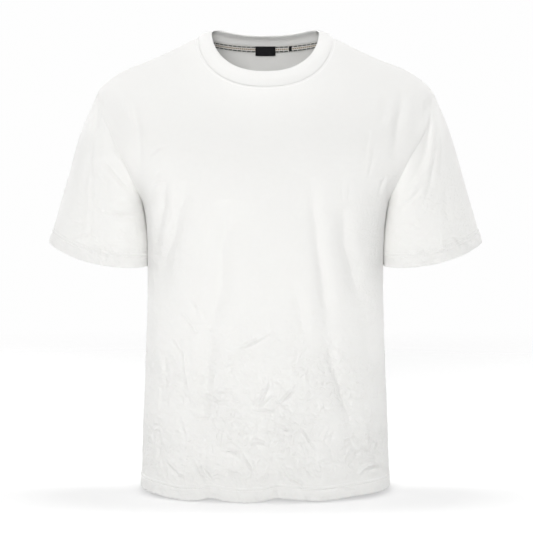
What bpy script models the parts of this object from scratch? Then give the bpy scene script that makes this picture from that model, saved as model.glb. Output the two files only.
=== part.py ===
"""A crew neck T-shirt in cotton jersey, filled out as when it is worn, with nobody in it.

Metres, +Z up. The origin is on the shoulder line, midway between the two points where the shoulder
seams meet the neckline. The front faces -Y, and +X is the wearer's left.

The cloth's outer surface is worked out once for the whole shirt: rings round the body from hem to
neckline, a ring round each armhole, and sections along each sleeve and up the collar. Each sewn piece
then takes its own part of that surface and gets its wall inwards, with a small gap at every seam.
"""
import math
from collections import namedtuple

import bpy
import numpy as np

# Cloth
JERSEY_WALL = 0.0018
HEM_WALL = 0.0030          # the same jersey turned up and stitched, at the hem and the cuffs
HEM_BAND = 0.020           # height of that turned-up band
RIB_WALL = 0.0024
SEAM_GAP = 0.0003
SEAM_BACK_OFF = 0.58 * SEAM_GAP   # how far each edge draws back, over half the gap so that curves clear
SEAM_FOLD = 0.5            # cosine of the turn over a seam past which each wall keeps its own direction

# How finely each piece is divided
FRONT_COLUMNS = 30
BACK_COLUMNS = 24
ROWS_BELOW_ARMPIT = 18
ROWS_AT_ARMHOLE = 12
ROWS_ABOVE_ARMHOLE = 5
SLEEVE_ROWS = 9
BAND_ROWS = 3
ROW_BEND = 3               # how late the rows bend to meet the armhole seams
ARC_SAMPLES = 240          # points along a ring when it is divided into equal lengths
SAME_POINT = 1e-7          # points of two pieces this close are one point of the cloth
SHARP_ANGLE = math.radians(50)

# Rings round the body, from the hem up to the neckline. Each crosses the side at (side_x, side_z),
# the front's centre at (front_y, front_z) and the back's at (back_y, back_z), and its back may rise
# between them. Squareness 2 is an ellipse, and more is fuller at the corners. Between armpit and tip
# the side is inside the armhole.
Ring = namedtuple("Ring", "side_x side_z front_y front_z back_y back_z back_rise squareness")
BODY_RINGS = {
    "hem":      Ring(0.1932, -0.7000, -0.1350, -0.7000, 0.1220, -0.7000, 0.000, 2.60),
    "hip":      Ring(0.1912, -0.6300, -0.1340, -0.6300, 0.1230, -0.6300, 0.000, 2.60),
    "waist":    Ring(0.1858, -0.5000, -0.1340, -0.5000, 0.1230, -0.5000, 0.000, 2.60),
    "ribs":     Ring(0.1826, -0.3700, -0.1360, -0.3700, 0.1240, -0.3700, 0.000, 2.60),
    "bust":     Ring(0.1838, -0.2900, -0.1370, -0.2980, 0.1250, -0.2880, 0.000, 2.60),
    "armpit":   Ring(0.1930, -0.2400, -0.1350, -0.2500, 0.1230, -0.2350, 0.000, 2.60),
    "armhole":  Ring(0.2380, -0.1640, -0.1310, -0.2050, 0.1190, -0.1680, 0.000, 2.60),
    "tip":      Ring(0.2600, -0.0870, -0.1240, -0.1650, 0.1100, -0.1030, 0.000, 2.45),
    "outer":    Ring(0.2300, -0.0596, -0.1180, -0.1400, 0.1030, -0.0780, 0.000, 2.35),
    "shoulder": Ring(0.1700, -0.0336, -0.1050, -0.1090, 0.0860, -0.0420, 0.002, 2.25),
    "neckline": Ring(0.1045, -0.0020, -0.0880, -0.0814, 0.0640, -0.0089, 0.004, 2.30),
}
RING_SHOULDER_ROUNDING = 0.15   # how softly a ring turns over the side, as a share of its depth
CORNER_ROUNDING = 0.030         # how far the rings' corner at the shoulder tip is spread, away from it
CORNER_REACH = 0.55             # the share of a ring's depth by which that spread is full
FRONT_ARMHOLE_CUT = math.radians(29)   # how far each armhole seam cuts in from the side, round a ring
BACK_ARMHOLE_CUT = math.radians(27)

# The collar, from its seam to its free edge
COLLAR_RINGS = {
    "middle":   Ring(0.0955, 0.0040, -0.0840, -0.0700, 0.0575, -0.0010, 0.005, 2.30),
    "edge":     Ring(0.0845, 0.0070, -0.0780, -0.0588, 0.0480, 0.0047, 0.006, 2.30),
}

# Sections across a sleeve, from the armhole to the cuff: its outer and inner edge seen from the
# front, its depth each way, and how much lower it hangs at the front and the back.
Section = namedtuple("Section", "outer_x outer_z inner_x inner_z front_y back_y "
                                "front_drop back_drop squareness")
SLEEVE_SECTIONS = {
    "head":     Section(0.2815, -0.1370, 0.1905, -0.2620, -0.0760, 0.0740, 0.002, 0.000, 2.1),
    "bicep":    Section(0.3045, -0.2110, 0.1870, -0.2900, -0.0730, 0.0710, 0.006, 0.002, 2.1),
    "lower":    Section(0.3200, -0.2620, 0.1860, -0.3200, -0.0670, 0.0650, 0.010, 0.003, 2.1),
    "cuff":     Section(0.3360, -0.3180, 0.1865, -0.3520, -0.0620, 0.0610, 0.014, 0.005, 2.1),
}

# The largest folds. Each runs straight from one place to the next seen from the front, is as wide
# as given, and pushes the cloth out (+) or in (-) by depth at its middle, fading to its ends.
Fold = namedtuple("Fold", "start_x start_z end_x end_z width depth")
FOLD_END_FADE = 0.7        # under 1, a fold keeps its depth nearer to its ends
FOLD_SIDE_FADE = 0.5       # under 1, it keeps it further round the side
FRONT_FOLDS = [
    Fold(-0.127, -0.190, -0.092, -0.560, 0.034, -0.0060),
    Fold(-0.157, -0.200, -0.162, -0.420, 0.030, -0.0045),
    Fold(-0.145, -0.420, -0.128, -0.700, 0.036, 0.0040),
    Fold(0.026, -0.190, 0.052, -0.400, 0.030, -0.0040),
    Fold(0.052, -0.360, 0.160, -0.690, 0.034, -0.0065),
    Fold(0.100, -0.190, 0.155, -0.440, 0.034, -0.0060),
    Fold(-0.196, -0.090, -0.188, -0.235, 0.024, -0.0050),
    Fold(0.210, -0.090, 0.180, -0.260, 0.026, -0.0060),
    Fold(-0.081, -0.560, -0.081, -0.760, 0.034, -0.0080),
    Fold(0.019, -0.590, 0.019, -0.760, 0.032, -0.0080),
    Fold(-0.030, -0.600, -0.026, -0.760, 0.044, 0.0050),
    Fold(0.086, -0.560, 0.080, -0.760, 0.050, 0.0050),
    Fold(-0.247, -0.105, -0.275, -0.300, 0.020, -0.0045),
    Fold(-0.262, -0.110, -0.285, -0.320, 0.018, -0.0035),
    Fold(0.247, -0.100, 0.215, -0.260, 0.022, -0.0050),
    Fold(0.262, -0.105, 0.262, -0.300, 0.020, -0.0045),
]
BACK_FOLDS = [
    Fold(-0.120, -0.150, -0.070, -0.520, 0.036, -0.0055),
    Fold(0.130, -0.140, 0.085, -0.500, 0.036, -0.0060),
    Fold(-0.010, -0.260, -0.040, -0.640, 0.040, -0.0045),
    Fold(0.150, -0.380, 0.110, -0.740, 0.036, -0.0070),
    Fold(-0.150, -0.400, -0.105, -0.750, 0.038, -0.0070),
    Fold(0.030, -0.520, 0.035, -0.760, 0.042, -0.0070),
    Fold(-0.196, -0.100, -0.186, -0.240, 0.024, -0.0045),
    Fold(0.198, -0.100, 0.186, -0.240, 0.024, -0.0045),
    Fold(-0.250, -0.110, -0.270, -0.300, 0.022, -0.0045),
    Fold(0.252, -0.110, 0.268, -0.300, 0.022, -0.0045),
]

# What is sewn inside the back neck. Each lies on the cloth under it, moved in by the seam gap.
TAPE_WIDTH = 0.012
TAPE_WALL = 0.0010
TAPE_BELOW_SEAM = 0.0006
TAPE_SHORT_OF_ENDS = 0.004         # how far short of each shoulder seam it stops
TAPE_COLUMNS = 28
LABEL_SIZE = (0.032, 0.0175)
LABEL_PLACE = (0.000, -0.0004)     # along the tape from the centre, and its top edge below the tape's
TAB_SIZE = (0.0048, 0.0095)
TAB_PLACE = (0.0400, 0.0005)
LABEL_WALL = 0.0010
LABEL_GRID = (5, 4)                # points along and down each label

WHITE_JERSEY = ("white jersey", (0.905, 0.905, 0.893, 1.0), 0.85)
WHITE_RIB = ("white rib", (0.910, 0.908, 0.895, 1.0), 0.85)
TAPE_TWILL = ("tape twill", (0.620, 0.520, 0.420, 1.0), 0.80)
BLACK_SATIN = ("black satin", (0.012, 0.012, 0.014, 1.0), 0.45)


def clear_scene():
    for old in list(bpy.data.objects):
        bpy.data.objects.remove(old, do_unlink=True)


def make_material(name, colour, roughness):
    material = bpy.data.materials.new(name)
    material.use_nodes = True
    shader = material.node_tree.nodes["Principled BSDF"]
    shader.inputs["Base Color"].default_value = colour
    shader.inputs["Roughness"].default_value = roughness
    shader.inputs["Metallic"].default_value = 0.0
    return material


def unit(vectors):
    """The vectors at length 1."""
    return vectors / np.maximum(np.linalg.norm(vectors, axis=-1, keepdims=True), 1e-12)


def smooth_through(knots, values, at):
    """The values at the places `at` of a smooth curve through (knots, values)."""
    slopes = np.gradient(values, knots, axis=0)
    at = np.asarray(at, dtype=float)
    span = np.clip(np.searchsorted(knots, at, side="right") - 1, 0, len(knots) - 2)
    length = (knots[span + 1] - knots[span]).reshape(at.shape + (1,) * (values.ndim - 1))
    t = (at - knots[span]).reshape(length.shape) / length
    return ((2 * t**3 - 3 * t**2 + 1) * values[span] + (t**3 - 2 * t**2 + t) * length * slopes[span]
            + (-2 * t**3 + 3 * t**2) * values[span + 1] + (t**3 - t**2) * length * slopes[span + 1])


def travel(points):
    """Distance along a row of points, from its first."""
    return np.concatenate([[0.0], np.cumsum(np.linalg.norm(np.diff(points, axis=0), axis=1))])


def round_reach(angle, square):
    """How far a unit ring of this squareness reaches sideways and towards its front or back."""
    across, along = np.sin(angle), np.cos(angle)
    reach = (np.abs(across) ** square + np.abs(along) ** square) ** (-1 / square)
    return reach * across, reach * along


def ring_point(ring, angle, back):
    """The point on a ring at an angle from the centre of the front or the back to the side."""
    ring = Ring(*np.moveaxis(ring, -1, 0))
    sideways, toward = round_reach(angle, ring.squareness)
    soft = RING_SHOULDER_ROUNDING
    tilt = (np.hypot(toward, soft) - soft) / (math.hypot(1, soft) - soft)
    y, z = (ring.back_y, ring.back_z) if back else (ring.front_y, ring.front_z)
    rise = ring.back_rise * np.sin(math.pi * np.clip(tilt, 0, 1)) if back else 0.0
    return np.stack([ring.side_x * sideways, y * toward,
                     ring.side_z + (z - ring.side_z) * tilt + rise], axis=-1)


def row_of_points(point_at, cut, columns):
    """A row of points in equal lengths across the front or back, from -X to +X, between the seams."""
    angles = np.linspace(cut - math.pi / 2, math.pi / 2 - cut, ARC_SAMPLES)
    length = travel(point_at(angles))
    at = np.interp(np.linspace(0, length[-1], columns + 1), length, angles)
    return point_at((at - at[::-1]) / 2)


def rounded_rings(knots, rings):
    """The rings' values at many levels, each averaged with its neighbours, with both ends kept."""
    levels = np.linspace(knots[0], knots[-1], ARC_SAMPLES)
    values = smooth_through(knots, rings, levels)
    step = levels[1] - levels[0]
    spread = int(3 * CORNER_ROUNDING / step)
    weights = np.exp(-((np.arange(-spread, spread + 1) * step / CORNER_ROUNDING) ** 2) / 2)
    before = 2 * values[0] - values[spread:0:-1]
    after = 2 * values[-1] - values[-2:-spread - 2:-1]
    padded = np.concatenate([before, values, after])
    total = sum(weight * padded[k:k + len(values)] for k, weight in enumerate(weights))
    return levels, total / weights.sum()


def body_surface():
    """The body's rings, their levels, and a function from angle and level to a point on the cloth."""
    rings = np.array(list(BODY_RINGS.values()))
    knots = (travel(rings[:, 0:2]) + travel(rings[:, 2:4])) / 2
    softer = rounded_rings(knots, rings)

    def point_at(angle, level, back):
        """Between the exact ring, which holds at the side, and the rounded one, away from it."""
        exact = smooth_through(knots, rings, level)
        squareness = exact[..., Ring._fields.index("squareness")]
        share = np.clip(round_reach(angle, squareness)[1] / CORNER_REACH, 0, 1)
        share = (share**2 * (3 - 2 * share))[..., None]
        rounded = smooth_through(*softer, level)
        return ring_point(exact, angle, back) * (1 - share) + ring_point(rounded, angle, back) * share

    return knots, point_at


def panel_rows(knots):
    """Each row's level at the centre, its level at the seam, and how far the armhole cuts in there."""
    names = list(BODY_RINGS)
    armpit, tip = knots[names.index("armpit")], knots[names.index("tip")]
    below = np.concatenate([[knots[0]], np.linspace(knots[0] + HEM_BAND, armpit, ROWS_BELOW_ARMPIT)])
    turn = np.linspace(0, math.pi, ROWS_AT_ARMHOLE + 1)[1:]
    above = np.linspace(tip, knots[-1], ROWS_ABOVE_ARMHOLE + 1)[1:]
    plain = np.zeros(len(below)), np.zeros(len(above))
    centre = np.concatenate([below, armpit + (tip - armpit) * turn / math.pi, above])
    seam = np.concatenate([below, armpit + (tip - armpit) * (1 - np.cos(turn)) / 2, above])
    inset = np.concatenate([plain[0], np.abs(np.sin(turn)), plain[1]])
    return centre, seam, inset, len(below) - 1


def panel_grid(columns, cut, back):
    knots, point_at = body_surface()
    rows = []
    for centre, seam, inset in zip(*panel_rows(knots)[:3]):
        limit = math.pi / 2 - cut * inset

        def on_row(angle):
            level = centre + (seam - centre) * np.abs(angle / limit) ** ROW_BEND
            return point_at(angle, level, back)

        rows.append(row_of_points(on_row, cut * inset, columns))
    return np.array(rows)


def armhole_ring(front, back, side):
    """Points round an armhole: from the shoulder tip down the front to the armpit and up the back."""
    first = panel_rows(body_surface()[0])[3]
    column = -1 if side > 0 else 0
    down_front = front[first:first + ROWS_AT_ARMHOLE + 1, column][::-1]
    up_back = back[first:first + ROWS_AT_ARMHOLE + 1, column]
    return np.concatenate([down_front, up_back[1:-1]])


def sleeve_section(row, turns, side):
    deep, outward = round_reach(turns, row.squareness)
    half_x, half_z = (row.outer_x - row.inner_x) / 2, (row.outer_z - row.inner_z) / 2
    front = deep > 0
    y = np.where(front, row.front_y, -row.back_y) * deep
    drop = np.where(front, row.front_drop, row.back_drop) * deep**2
    x = (row.outer_x + row.inner_x) / 2 + half_x * outward
    z = (row.outer_z + row.inner_z) / 2 + half_z * outward - drop
    return np.stack([side * x, y, z], axis=-1)


def sleeve_grid(front, back, side):
    start = armhole_ring(front, back, side)
    turns = np.arange(len(start)) * math.pi / ROWS_AT_ARMHOLE
    sections = np.array([start] + [sleeve_section(row, turns, side) for row in SLEEVE_SECTIONS.values()])
    steps = np.linalg.norm(np.diff(sections, axis=0), axis=2).mean(axis=1)
    knots = np.concatenate([[0.0], np.cumsum(steps)])
    levels = np.concatenate([np.linspace(0, knots[-1] - HEM_BAND, SLEEVE_ROWS), [knots[-1]]])
    return np.array([smooth_through(knots, sections, level) for level in levels])


def collar_grid(front, back):
    """Rows of the collar from the neckline up, each all the way round from -X along the front."""
    start = np.concatenate([front[-1], back[-1][::-1][1:-1]])
    rings = np.array([BODY_RINGS["neckline"]] + list(COLLAR_RINGS.values()))
    knots = np.linspace(0, 1, len(rings))
    rows = [start]
    for level in np.linspace(0, 1, BAND_ROWS + 1)[1:]:
        ring = smooth_through(knots, rings, level)
        front_row = row_of_points(lambda angle: ring_point(ring, angle, False), 0.0, FRONT_COLUMNS)
        back_row = row_of_points(lambda angle: ring_point(ring, angle, True), 0.0, BACK_COLUMNS)
        rows.append(np.concatenate([front_row, back_row[::-1][1:-1]]))
    return np.array(rows)


def quads(rows, columns, closed, flip):
    """The four corners of each cell of a grid, facing out."""
    cells = []
    for row in range(rows - 1):
        for column in range(columns if closed else columns - 1):
            beside = (column + 1) % columns
            cell = [row * columns + column, row * columns + beside,
                    (row + 1) * columns + beside, (row + 1) * columns + column]
            cells.append(cell[::-1] if flip else cell)
    return np.array(cells)


def cell_normals(points, cells):
    a, b, c, d = (points[cells[:, k]] for k in range(4))
    return np.cross(c - a, d - b)


def point_normals(points, cells):
    normals = np.zeros_like(points)
    flat = cell_normals(points, cells)
    for corner in range(4):
        np.add.at(normals, cells[:, corner], flat)
    return unit(normals)


def push_folds(points, normals, folds, facing):
    """How far each point moves along its normal, for the folds on the front (-1) or the back (+1)."""
    push = np.zeros(len(points))
    shown = np.clip(normals[:, 1] * facing, 0, 1) ** FOLD_SIDE_FADE
    for fold in folds:
        start = np.array([fold.start_x, fold.start_z])
        along = np.array([fold.end_x, fold.end_z]) - start
        offset = points[:, [0, 2]] - start
        place = offset @ along / (along @ along)
        nearest = np.clip(place, 0, 1)
        away = np.linalg.norm(offset - nearest[:, None] * along, axis=1)
        fade = np.sin(math.pi * nearest) ** FOLD_END_FADE
        push += fold.depth * fade * np.exp(-(away / (fold.width / 2)) ** 2)
    return push * shown


def weld(pieces):
    """Number the points that pieces share, so that folds and seams agree from piece to piece."""
    stacked = np.concatenate([piece["points"] for piece in pieces])
    keys = np.round(stacked / SAME_POINT).astype(np.int64)
    _, number = np.unique(keys, axis=0, return_inverse=True)
    number = number.reshape(-1)
    first = 0
    for piece in pieces:
        piece["shared"] = number[first:first + len(piece["points"])]
        first += len(piece["points"])
    return number.max() + 1


def edge_chain(cells):
    """The edges that only one cell uses, as (from, to) in that cell's own direction."""
    edges = {}
    for cell in cells:
        for k in range(4):
            edges[(cell[k], cell[(k + 1) % 4])] = True
    return [edge for edge in edges if (edge[1], edge[0]) not in edges]


def seam_directions(pieces, total):
    """For each piece, which way its wall goes in and which way its edge draws back at a seam."""
    for piece in pieces:
        cells, points = piece["cells"], piece["points"]
        piece["own"] = point_normals(points, cells)
        centres = points[cells].mean(axis=1)
        inward = np.zeros_like(points)
        for corner in range(4):
            np.add.at(inward, cells[:, corner], unit(centres - points[cells[:, corner]]))
        piece["inward"] = unit(inward)
        piece["edge"] = sorted({point for edge in edge_chain(cells) for point in edge})
    meeting = [[] for _ in range(total)]
    for index, piece in enumerate(pieces):
        for point in piece["edge"]:
            meeting[piece["shared"][point]].append((index, point))
    for index, piece in enumerate(pieces):
        piece["wall_way"] = piece["own"].copy()
        piece["back_off"] = np.zeros_like(piece["points"])
        for point in piece["edge"]:
            others = [(i, p) for i, p in meeting[piece["shared"][point]] if i != index]
            if not others:
                continue
            own, inward = piece["own"][point], piece["inward"][point]
            blended = own.copy()
            away = np.zeros(3)
            for other, place in others:
                theirs = pieces[other]["own"][place]
                blended += theirs * np.clip(own @ theirs / SEAM_FOLD, 0, 1)
                away += pieces[other]["inward"][place]
            piece["wall_way"][point] = unit(blended)
            piece["back_off"][point] = unit(inward - away / len(others)) * SEAM_BACK_OFF


def wall_solid(name, piece, material):
    """The closed solid of a piece: its outer surface, the same moved in by its wall, and its rim."""
    outer = piece["points"] + piece["back_off"]
    inner = outer - piece["wall_way"] * piece["wall"][:, None]
    count = len(outer)
    cells = [list(map(int, cell)) for cell in piece["cells"]]
    faces = cells + [[point + count for point in reversed(cell)] for cell in cells]
    for start, end in edge_chain(piece["cells"]):
        faces.append([int(end), int(start), int(start) + count, int(end) + count])
    return add_object(name, np.concatenate([outer, inner]), faces, material)


def add_object(name, points, faces, material):
    mesh = bpy.data.meshes.new(name)
    mesh.from_pydata([tuple(map(float, point)) for point in points], [], faces)
    mesh.materials.append(material)
    mesh.shade_smooth()
    mesh.set_sharp_from_angle(angle=SHARP_ANGLE)
    obj = bpy.data.objects.new(name, mesh)
    bpy.context.collection.objects.link(obj)
    return obj


def make_piece(grid, closed, flip, wall_rows):
    """A piece's points, cells and wall at each point, from its grid and the wall of each row."""
    rows, columns = grid.shape[:2]
    return {
        "points": grid.reshape(-1, 3).copy(),
        "cells": quads(rows, columns, closed, flip),
        "wall": np.repeat(wall_rows, columns),
        "grid": (rows, columns),
    }


def hem_walls(rows, hem_rows):
    """Wall of each row, thicker at the rows of the turned-up band."""
    return np.array([HEM_WALL if row in hem_rows else JERSEY_WALL for row in range(rows)])


def shirt_pieces():
    front = panel_grid(FRONT_COLUMNS, FRONT_ARMHOLE_CUT, False)
    back = panel_grid(BACK_COLUMNS, BACK_ARMHOLE_CUT, True)
    left, right = sleeve_grid(front, back, 1), sleeve_grid(front, back, -1)
    collar = collar_grid(front, back)
    panel_walls = hem_walls(len(front), (0, 1))
    sleeve_walls = hem_walls(len(left), (len(left) - 2, len(left) - 1))
    pieces = {
        "front_panel": make_piece(front, False, False, panel_walls),
        "back_panel": make_piece(back, False, True, panel_walls),
        "sleeve_left": make_piece(left, True, False, sleeve_walls),
        "sleeve_right": make_piece(right, True, True, sleeve_walls),
        "neckband": make_piece(collar, True, False, np.full(len(collar), RIB_WALL)),
    }
    every = list(pieces.values())
    total = weld(every)
    together = np.zeros((total, 3))
    for piece in every:
        np.add.at(together, piece["shared"], point_normals(piece["points"], piece["cells"]))
    together = unit(together)
    for piece in every:
        normals = together[piece["shared"]]
        push = push_folds(piece["points"], normals, FRONT_FOLDS, -1)
        push += push_folds(piece["points"], normals, BACK_FOLDS, 1)
        piece["points"] += normals * push[:, None]
    seam_directions(every, total)
    return pieces


def back_neck_rows(back_panel):
    """A function from a distance below the back neck's seam to the line of cloth there: points, normals."""
    rows, columns = back_panel["grid"]
    points = back_panel["points"].reshape(rows, columns, 3)[::-1]
    normals = back_panel["own"].reshape(rows, columns, 3)[::-1]

    def line_at(below):
        line, facing = [], []
        for column in range(columns):
            down = travel(points[:, column])
            line.append([np.interp(below, down, points[:, column, axis]) for axis in range(3)])
            facing.append([np.interp(below, down, normals[:, column, axis]) for axis in range(3)])
        return np.array(line), unit(np.array(facing))

    return line_at


def sewn_strip(name, line_at, distances, depths, lift, wall, material):
    """A thin solid that lies inside the back neck: its outer face `lift` in from the cloth's outside.

    The distances are measured along each row from the centre, so that its sides stay square.
    """
    grid, facing = [], []
    for below in depths:
        line, normals = line_at(below)
        along = travel(line)
        at = distances + along[-1] / 2
        grid.append(np.stack([np.interp(at, along, line[:, axis]) for axis in range(3)], axis=-1))
        facing.append(np.stack([np.interp(at, along, normals[:, axis]) for axis in range(3)], axis=-1))
    grid, facing = np.array(grid), unit(np.array(facing))
    rows, columns = grid.shape[:2]
    cells = quads(rows, columns, False, False)
    outer, facing = (grid - facing * lift).reshape(-1, 3), facing.reshape(-1, 3)
    if (cell_normals(outer, cells) * facing[cells[:, 0]]).sum() < 0:
        cells = cells[:, ::-1]
    piece = {
        "points": outer,
        "cells": cells,
        "wall": np.full(len(outer), wall),
        "wall_way": facing,
        "back_off": np.zeros_like(outer),
    }
    return wall_solid(name, piece, material)


def build_neck_trim(back_panel, tape, satin):
    line_at = back_neck_rows(back_panel)
    end = travel(line_at(0.0)[0])[-1] / 2 - TAPE_SHORT_OF_ENDS
    under_tape = JERSEY_WALL + SEAM_GAP
    under_label = under_tape + TAPE_WALL + SEAM_GAP
    sewn_strip("neck_tape", line_at, np.linspace(-end, end, TAPE_COLUMNS + 1),
               (TAPE_BELOW_SEAM, TAPE_BELOW_SEAM + TAPE_WIDTH), under_tape, TAPE_WALL, tape)
    along, down = LABEL_GRID
    for name, (width, height), (middle, lower) in (("neck_label", LABEL_SIZE, LABEL_PLACE),
                                                   ("size_tab", TAB_SIZE, TAB_PLACE)):
        start = TAPE_BELOW_SEAM + lower
        sewn_strip(name, line_at, np.linspace(middle - width / 2, middle + width / 2, along),
                   np.linspace(start, start + height, down), under_label, LABEL_WALL, satin)


def main():
    clear_scene()
    jersey, rib = make_material(*WHITE_JERSEY), make_material(*WHITE_RIB)
    tape, satin = make_material(*TAPE_TWILL), make_material(*BLACK_SATIN)
    pieces = shirt_pieces()
    for name, piece in pieces.items():
        wall_solid(name, piece, rib if name == "neckband" else jersey)
    build_neck_trim(pieces["back_panel"], tape, satin)


main()
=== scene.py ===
# A white crew neck T-shirt in cotton jersey, filled out as it is when worn, with nobody in it.
# Metres, +Z up. The front faces -Y and +X is the wearer's left. The origin is on the shoulder line.
import math
from collections import namedtuple

import bpy
import numpy as np
from mathutils.bvhtree import BVHTree
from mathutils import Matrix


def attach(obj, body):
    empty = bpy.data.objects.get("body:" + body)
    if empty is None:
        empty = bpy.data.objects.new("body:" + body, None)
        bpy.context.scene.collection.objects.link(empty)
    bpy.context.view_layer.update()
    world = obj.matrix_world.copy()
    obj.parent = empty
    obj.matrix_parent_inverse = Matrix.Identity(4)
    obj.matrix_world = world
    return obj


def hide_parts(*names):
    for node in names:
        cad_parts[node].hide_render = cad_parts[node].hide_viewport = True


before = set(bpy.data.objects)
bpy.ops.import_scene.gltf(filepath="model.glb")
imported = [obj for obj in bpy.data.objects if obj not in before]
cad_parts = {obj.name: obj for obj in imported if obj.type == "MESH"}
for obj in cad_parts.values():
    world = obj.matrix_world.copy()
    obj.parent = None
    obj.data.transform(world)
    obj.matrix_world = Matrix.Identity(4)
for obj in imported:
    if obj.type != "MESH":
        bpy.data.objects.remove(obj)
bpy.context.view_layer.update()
print("frame loaded:", len(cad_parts), "nodes")


# Small helpers for points and curves

def unit(vectors):
    return vectors / np.maximum(np.linalg.norm(vectors, axis=-1, keepdims=True), 1e-12)


def travel(points):  # distance along a row of points, from its first
    return np.concatenate([[0.0], np.cumsum(np.linalg.norm(np.diff(points, axis=0), axis=1))])


def smoothStep(value, low, high):
    share = np.clip((value - low) / (high - low), 0, 1)
    return share * share * (3 - 2 * share)


def bell(distance, width):  # 1 at distance 0, and fading away on both sides
    return np.exp(-(distance / width) ** 2)


def curveThrough(knots, values, at):  # a smooth curve through values at knots, read at other places
    slopes = np.gradient(values, knots, axis=0)
    at = np.asarray(at, dtype=float)
    span = np.clip(np.searchsorted(knots, at, side="right") - 1, 0, len(knots) - 2)
    length = (knots[span + 1] - knots[span]).reshape(at.shape + (1,) * (values.ndim - 1))
    t = (at - knots[span]).reshape(length.shape) / length
    return ((2 * t**3 - 3 * t**2 + 1) * values[span] + (t**3 - 2 * t**2 + t) * length * slopes[span]
            + (-2 * t**3 + 3 * t**2) * values[span + 1] + (t**3 - t**2) * length * slopes[span + 1])


def softNoise(x, y, seed):  # smooth values from about -1 to 1 over a plane, one swell or so to each unit
    turn = np.random.default_rng(seed).uniform(0, 2 * math.pi, (256, 256))
    column, row = np.floor(x).astype(int), np.floor(y).astype(int)
    u, v = x - column, y - row

    def pull(i, j):
        angle = turn[(row + j) % 256, (column + i) % 256]
        return np.cos(angle) * (u - i) + np.sin(angle) * (v - j)

    softU, softV = (t**3 * (t * (6 * t - 15) + 10) for t in (u, v))
    low = pull(0, 0) * (1 - softU) + pull(1, 0) * softU
    high = pull(0, 1) * (1 - softU) + pull(1, 1) * softU
    return 1.5 * (low * (1 - softV) + high * softV)


# The filled-out form. Every cloth piece below is laid on it.

bodyRing = namedtuple("bodyRing", "sideX sideZ frontY frontZ backY backZ backRise squareness")
sleeveSection = namedtuple("sleeveSection", "outerX outerZ innerX innerZ frontY backY "
                                            "frontDrop backDrop squareness")

form = {
    "body": {  # where each ring crosses the side, the front's centre and the back's centre
        "hem":      bodyRing(0.1932, -0.7000, -0.1350, -0.7000, 0.1220, -0.7000, 0.000, 2.60),
        "hip":      bodyRing(0.1912, -0.6300, -0.1340, -0.6300, 0.1230, -0.6300, 0.000, 2.60),
        "waist":    bodyRing(0.1858, -0.5000, -0.1340, -0.5000, 0.1230, -0.5000, 0.000, 2.60),
        "ribs":     bodyRing(0.1826, -0.3700, -0.1360, -0.3700, 0.1240, -0.3700, 0.000, 2.60),
        "bust":     bodyRing(0.1838, -0.2900, -0.1370, -0.2980, 0.1250, -0.2880, 0.000, 2.60),
        "armpit":   bodyRing(0.1930, -0.2400, -0.1350, -0.2500, 0.1230, -0.2350, 0.000, 2.60),
        "armhole":  bodyRing(0.2380, -0.1640, -0.1310, -0.2050, 0.1190, -0.1680, 0.000, 2.60),
        "tip":      bodyRing(0.2600, -0.0870, -0.1240, -0.1650, 0.1100, -0.1030, 0.000, 2.45),
        "outer":    bodyRing(0.2300, -0.0596, -0.1180, -0.1400, 0.1030, -0.0780, 0.000, 2.35),
        "shoulder": bodyRing(0.1700, -0.0336, -0.1050, -0.1090, 0.0860, -0.0420, 0.002, 2.25),
        "neckline": bodyRing(0.1045, -0.0020, -0.0880, -0.0814, 0.0640, -0.0089, 0.004, 2.30),
    },
    "collar": {
        "middle":   bodyRing(0.0955, 0.0040, -0.0840, -0.0700, 0.0575, -0.0010, 0.005, 2.30),
        "edge":     bodyRing(0.0845, 0.0070, -0.0780, -0.0588, 0.0480, 0.0047, 0.006, 2.30),
    },
    "sleeve": {
        "head":     sleeveSection(0.2815, -0.1370, 0.1905, -0.2620, -0.0760, 0.0740, 0.002, 0.000, 2.1),
        "bicep":    sleeveSection(0.3045, -0.2110, 0.1870, -0.2900, -0.0730, 0.0710, 0.006, 0.002, 2.1),
        "lower":    sleeveSection(0.3200, -0.2620, 0.1860, -0.3200, -0.0670, 0.0650, 0.010, 0.003, 2.1),
        "cuff":     sleeveSection(0.3360, -0.3180, 0.1865, -0.3520, -0.0620, 0.0610, 0.014, 0.005, 2.1),
    },
    "shoulderRounding": 0.15,   # how softly a ring turns over the side, as a share of its depth
    "cornerRounding": 0.030,    # how far the corner at the shoulder tip is spread away from the side
    "cornerReach": 0.55,
    "frontArmholeCut": math.radians(29),
    "backArmholeCut": math.radians(27),
    "samples": 360,
}


def roundReach(angle, squareness):  # a unit ring's reach sideways and towards its front or back
    across, along = np.sin(angle), np.cos(angle)
    reach = (np.abs(across) ** squareness + np.abs(along) ** squareness) ** (-1 / squareness)
    return reach * across, reach * along


def ringPoint(ring, angle, back):
    ring = bodyRing(*np.moveaxis(ring, -1, 0))
    sideways, toward = roundReach(angle, ring.squareness)
    soft = form["shoulderRounding"]
    tilt = (np.hypot(toward, soft) - soft) / (math.hypot(1, soft) - soft)
    y, z = (ring.backY, ring.backZ) if back else (ring.frontY, ring.frontZ)
    rise = ring.backRise * np.sin(math.pi * np.clip(tilt, 0, 1)) if back else 0.0
    return np.stack([ring.sideX * sideways, y * toward,
                     ring.sideZ + (z - ring.sideZ) * tilt + rise], axis=-1)


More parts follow.
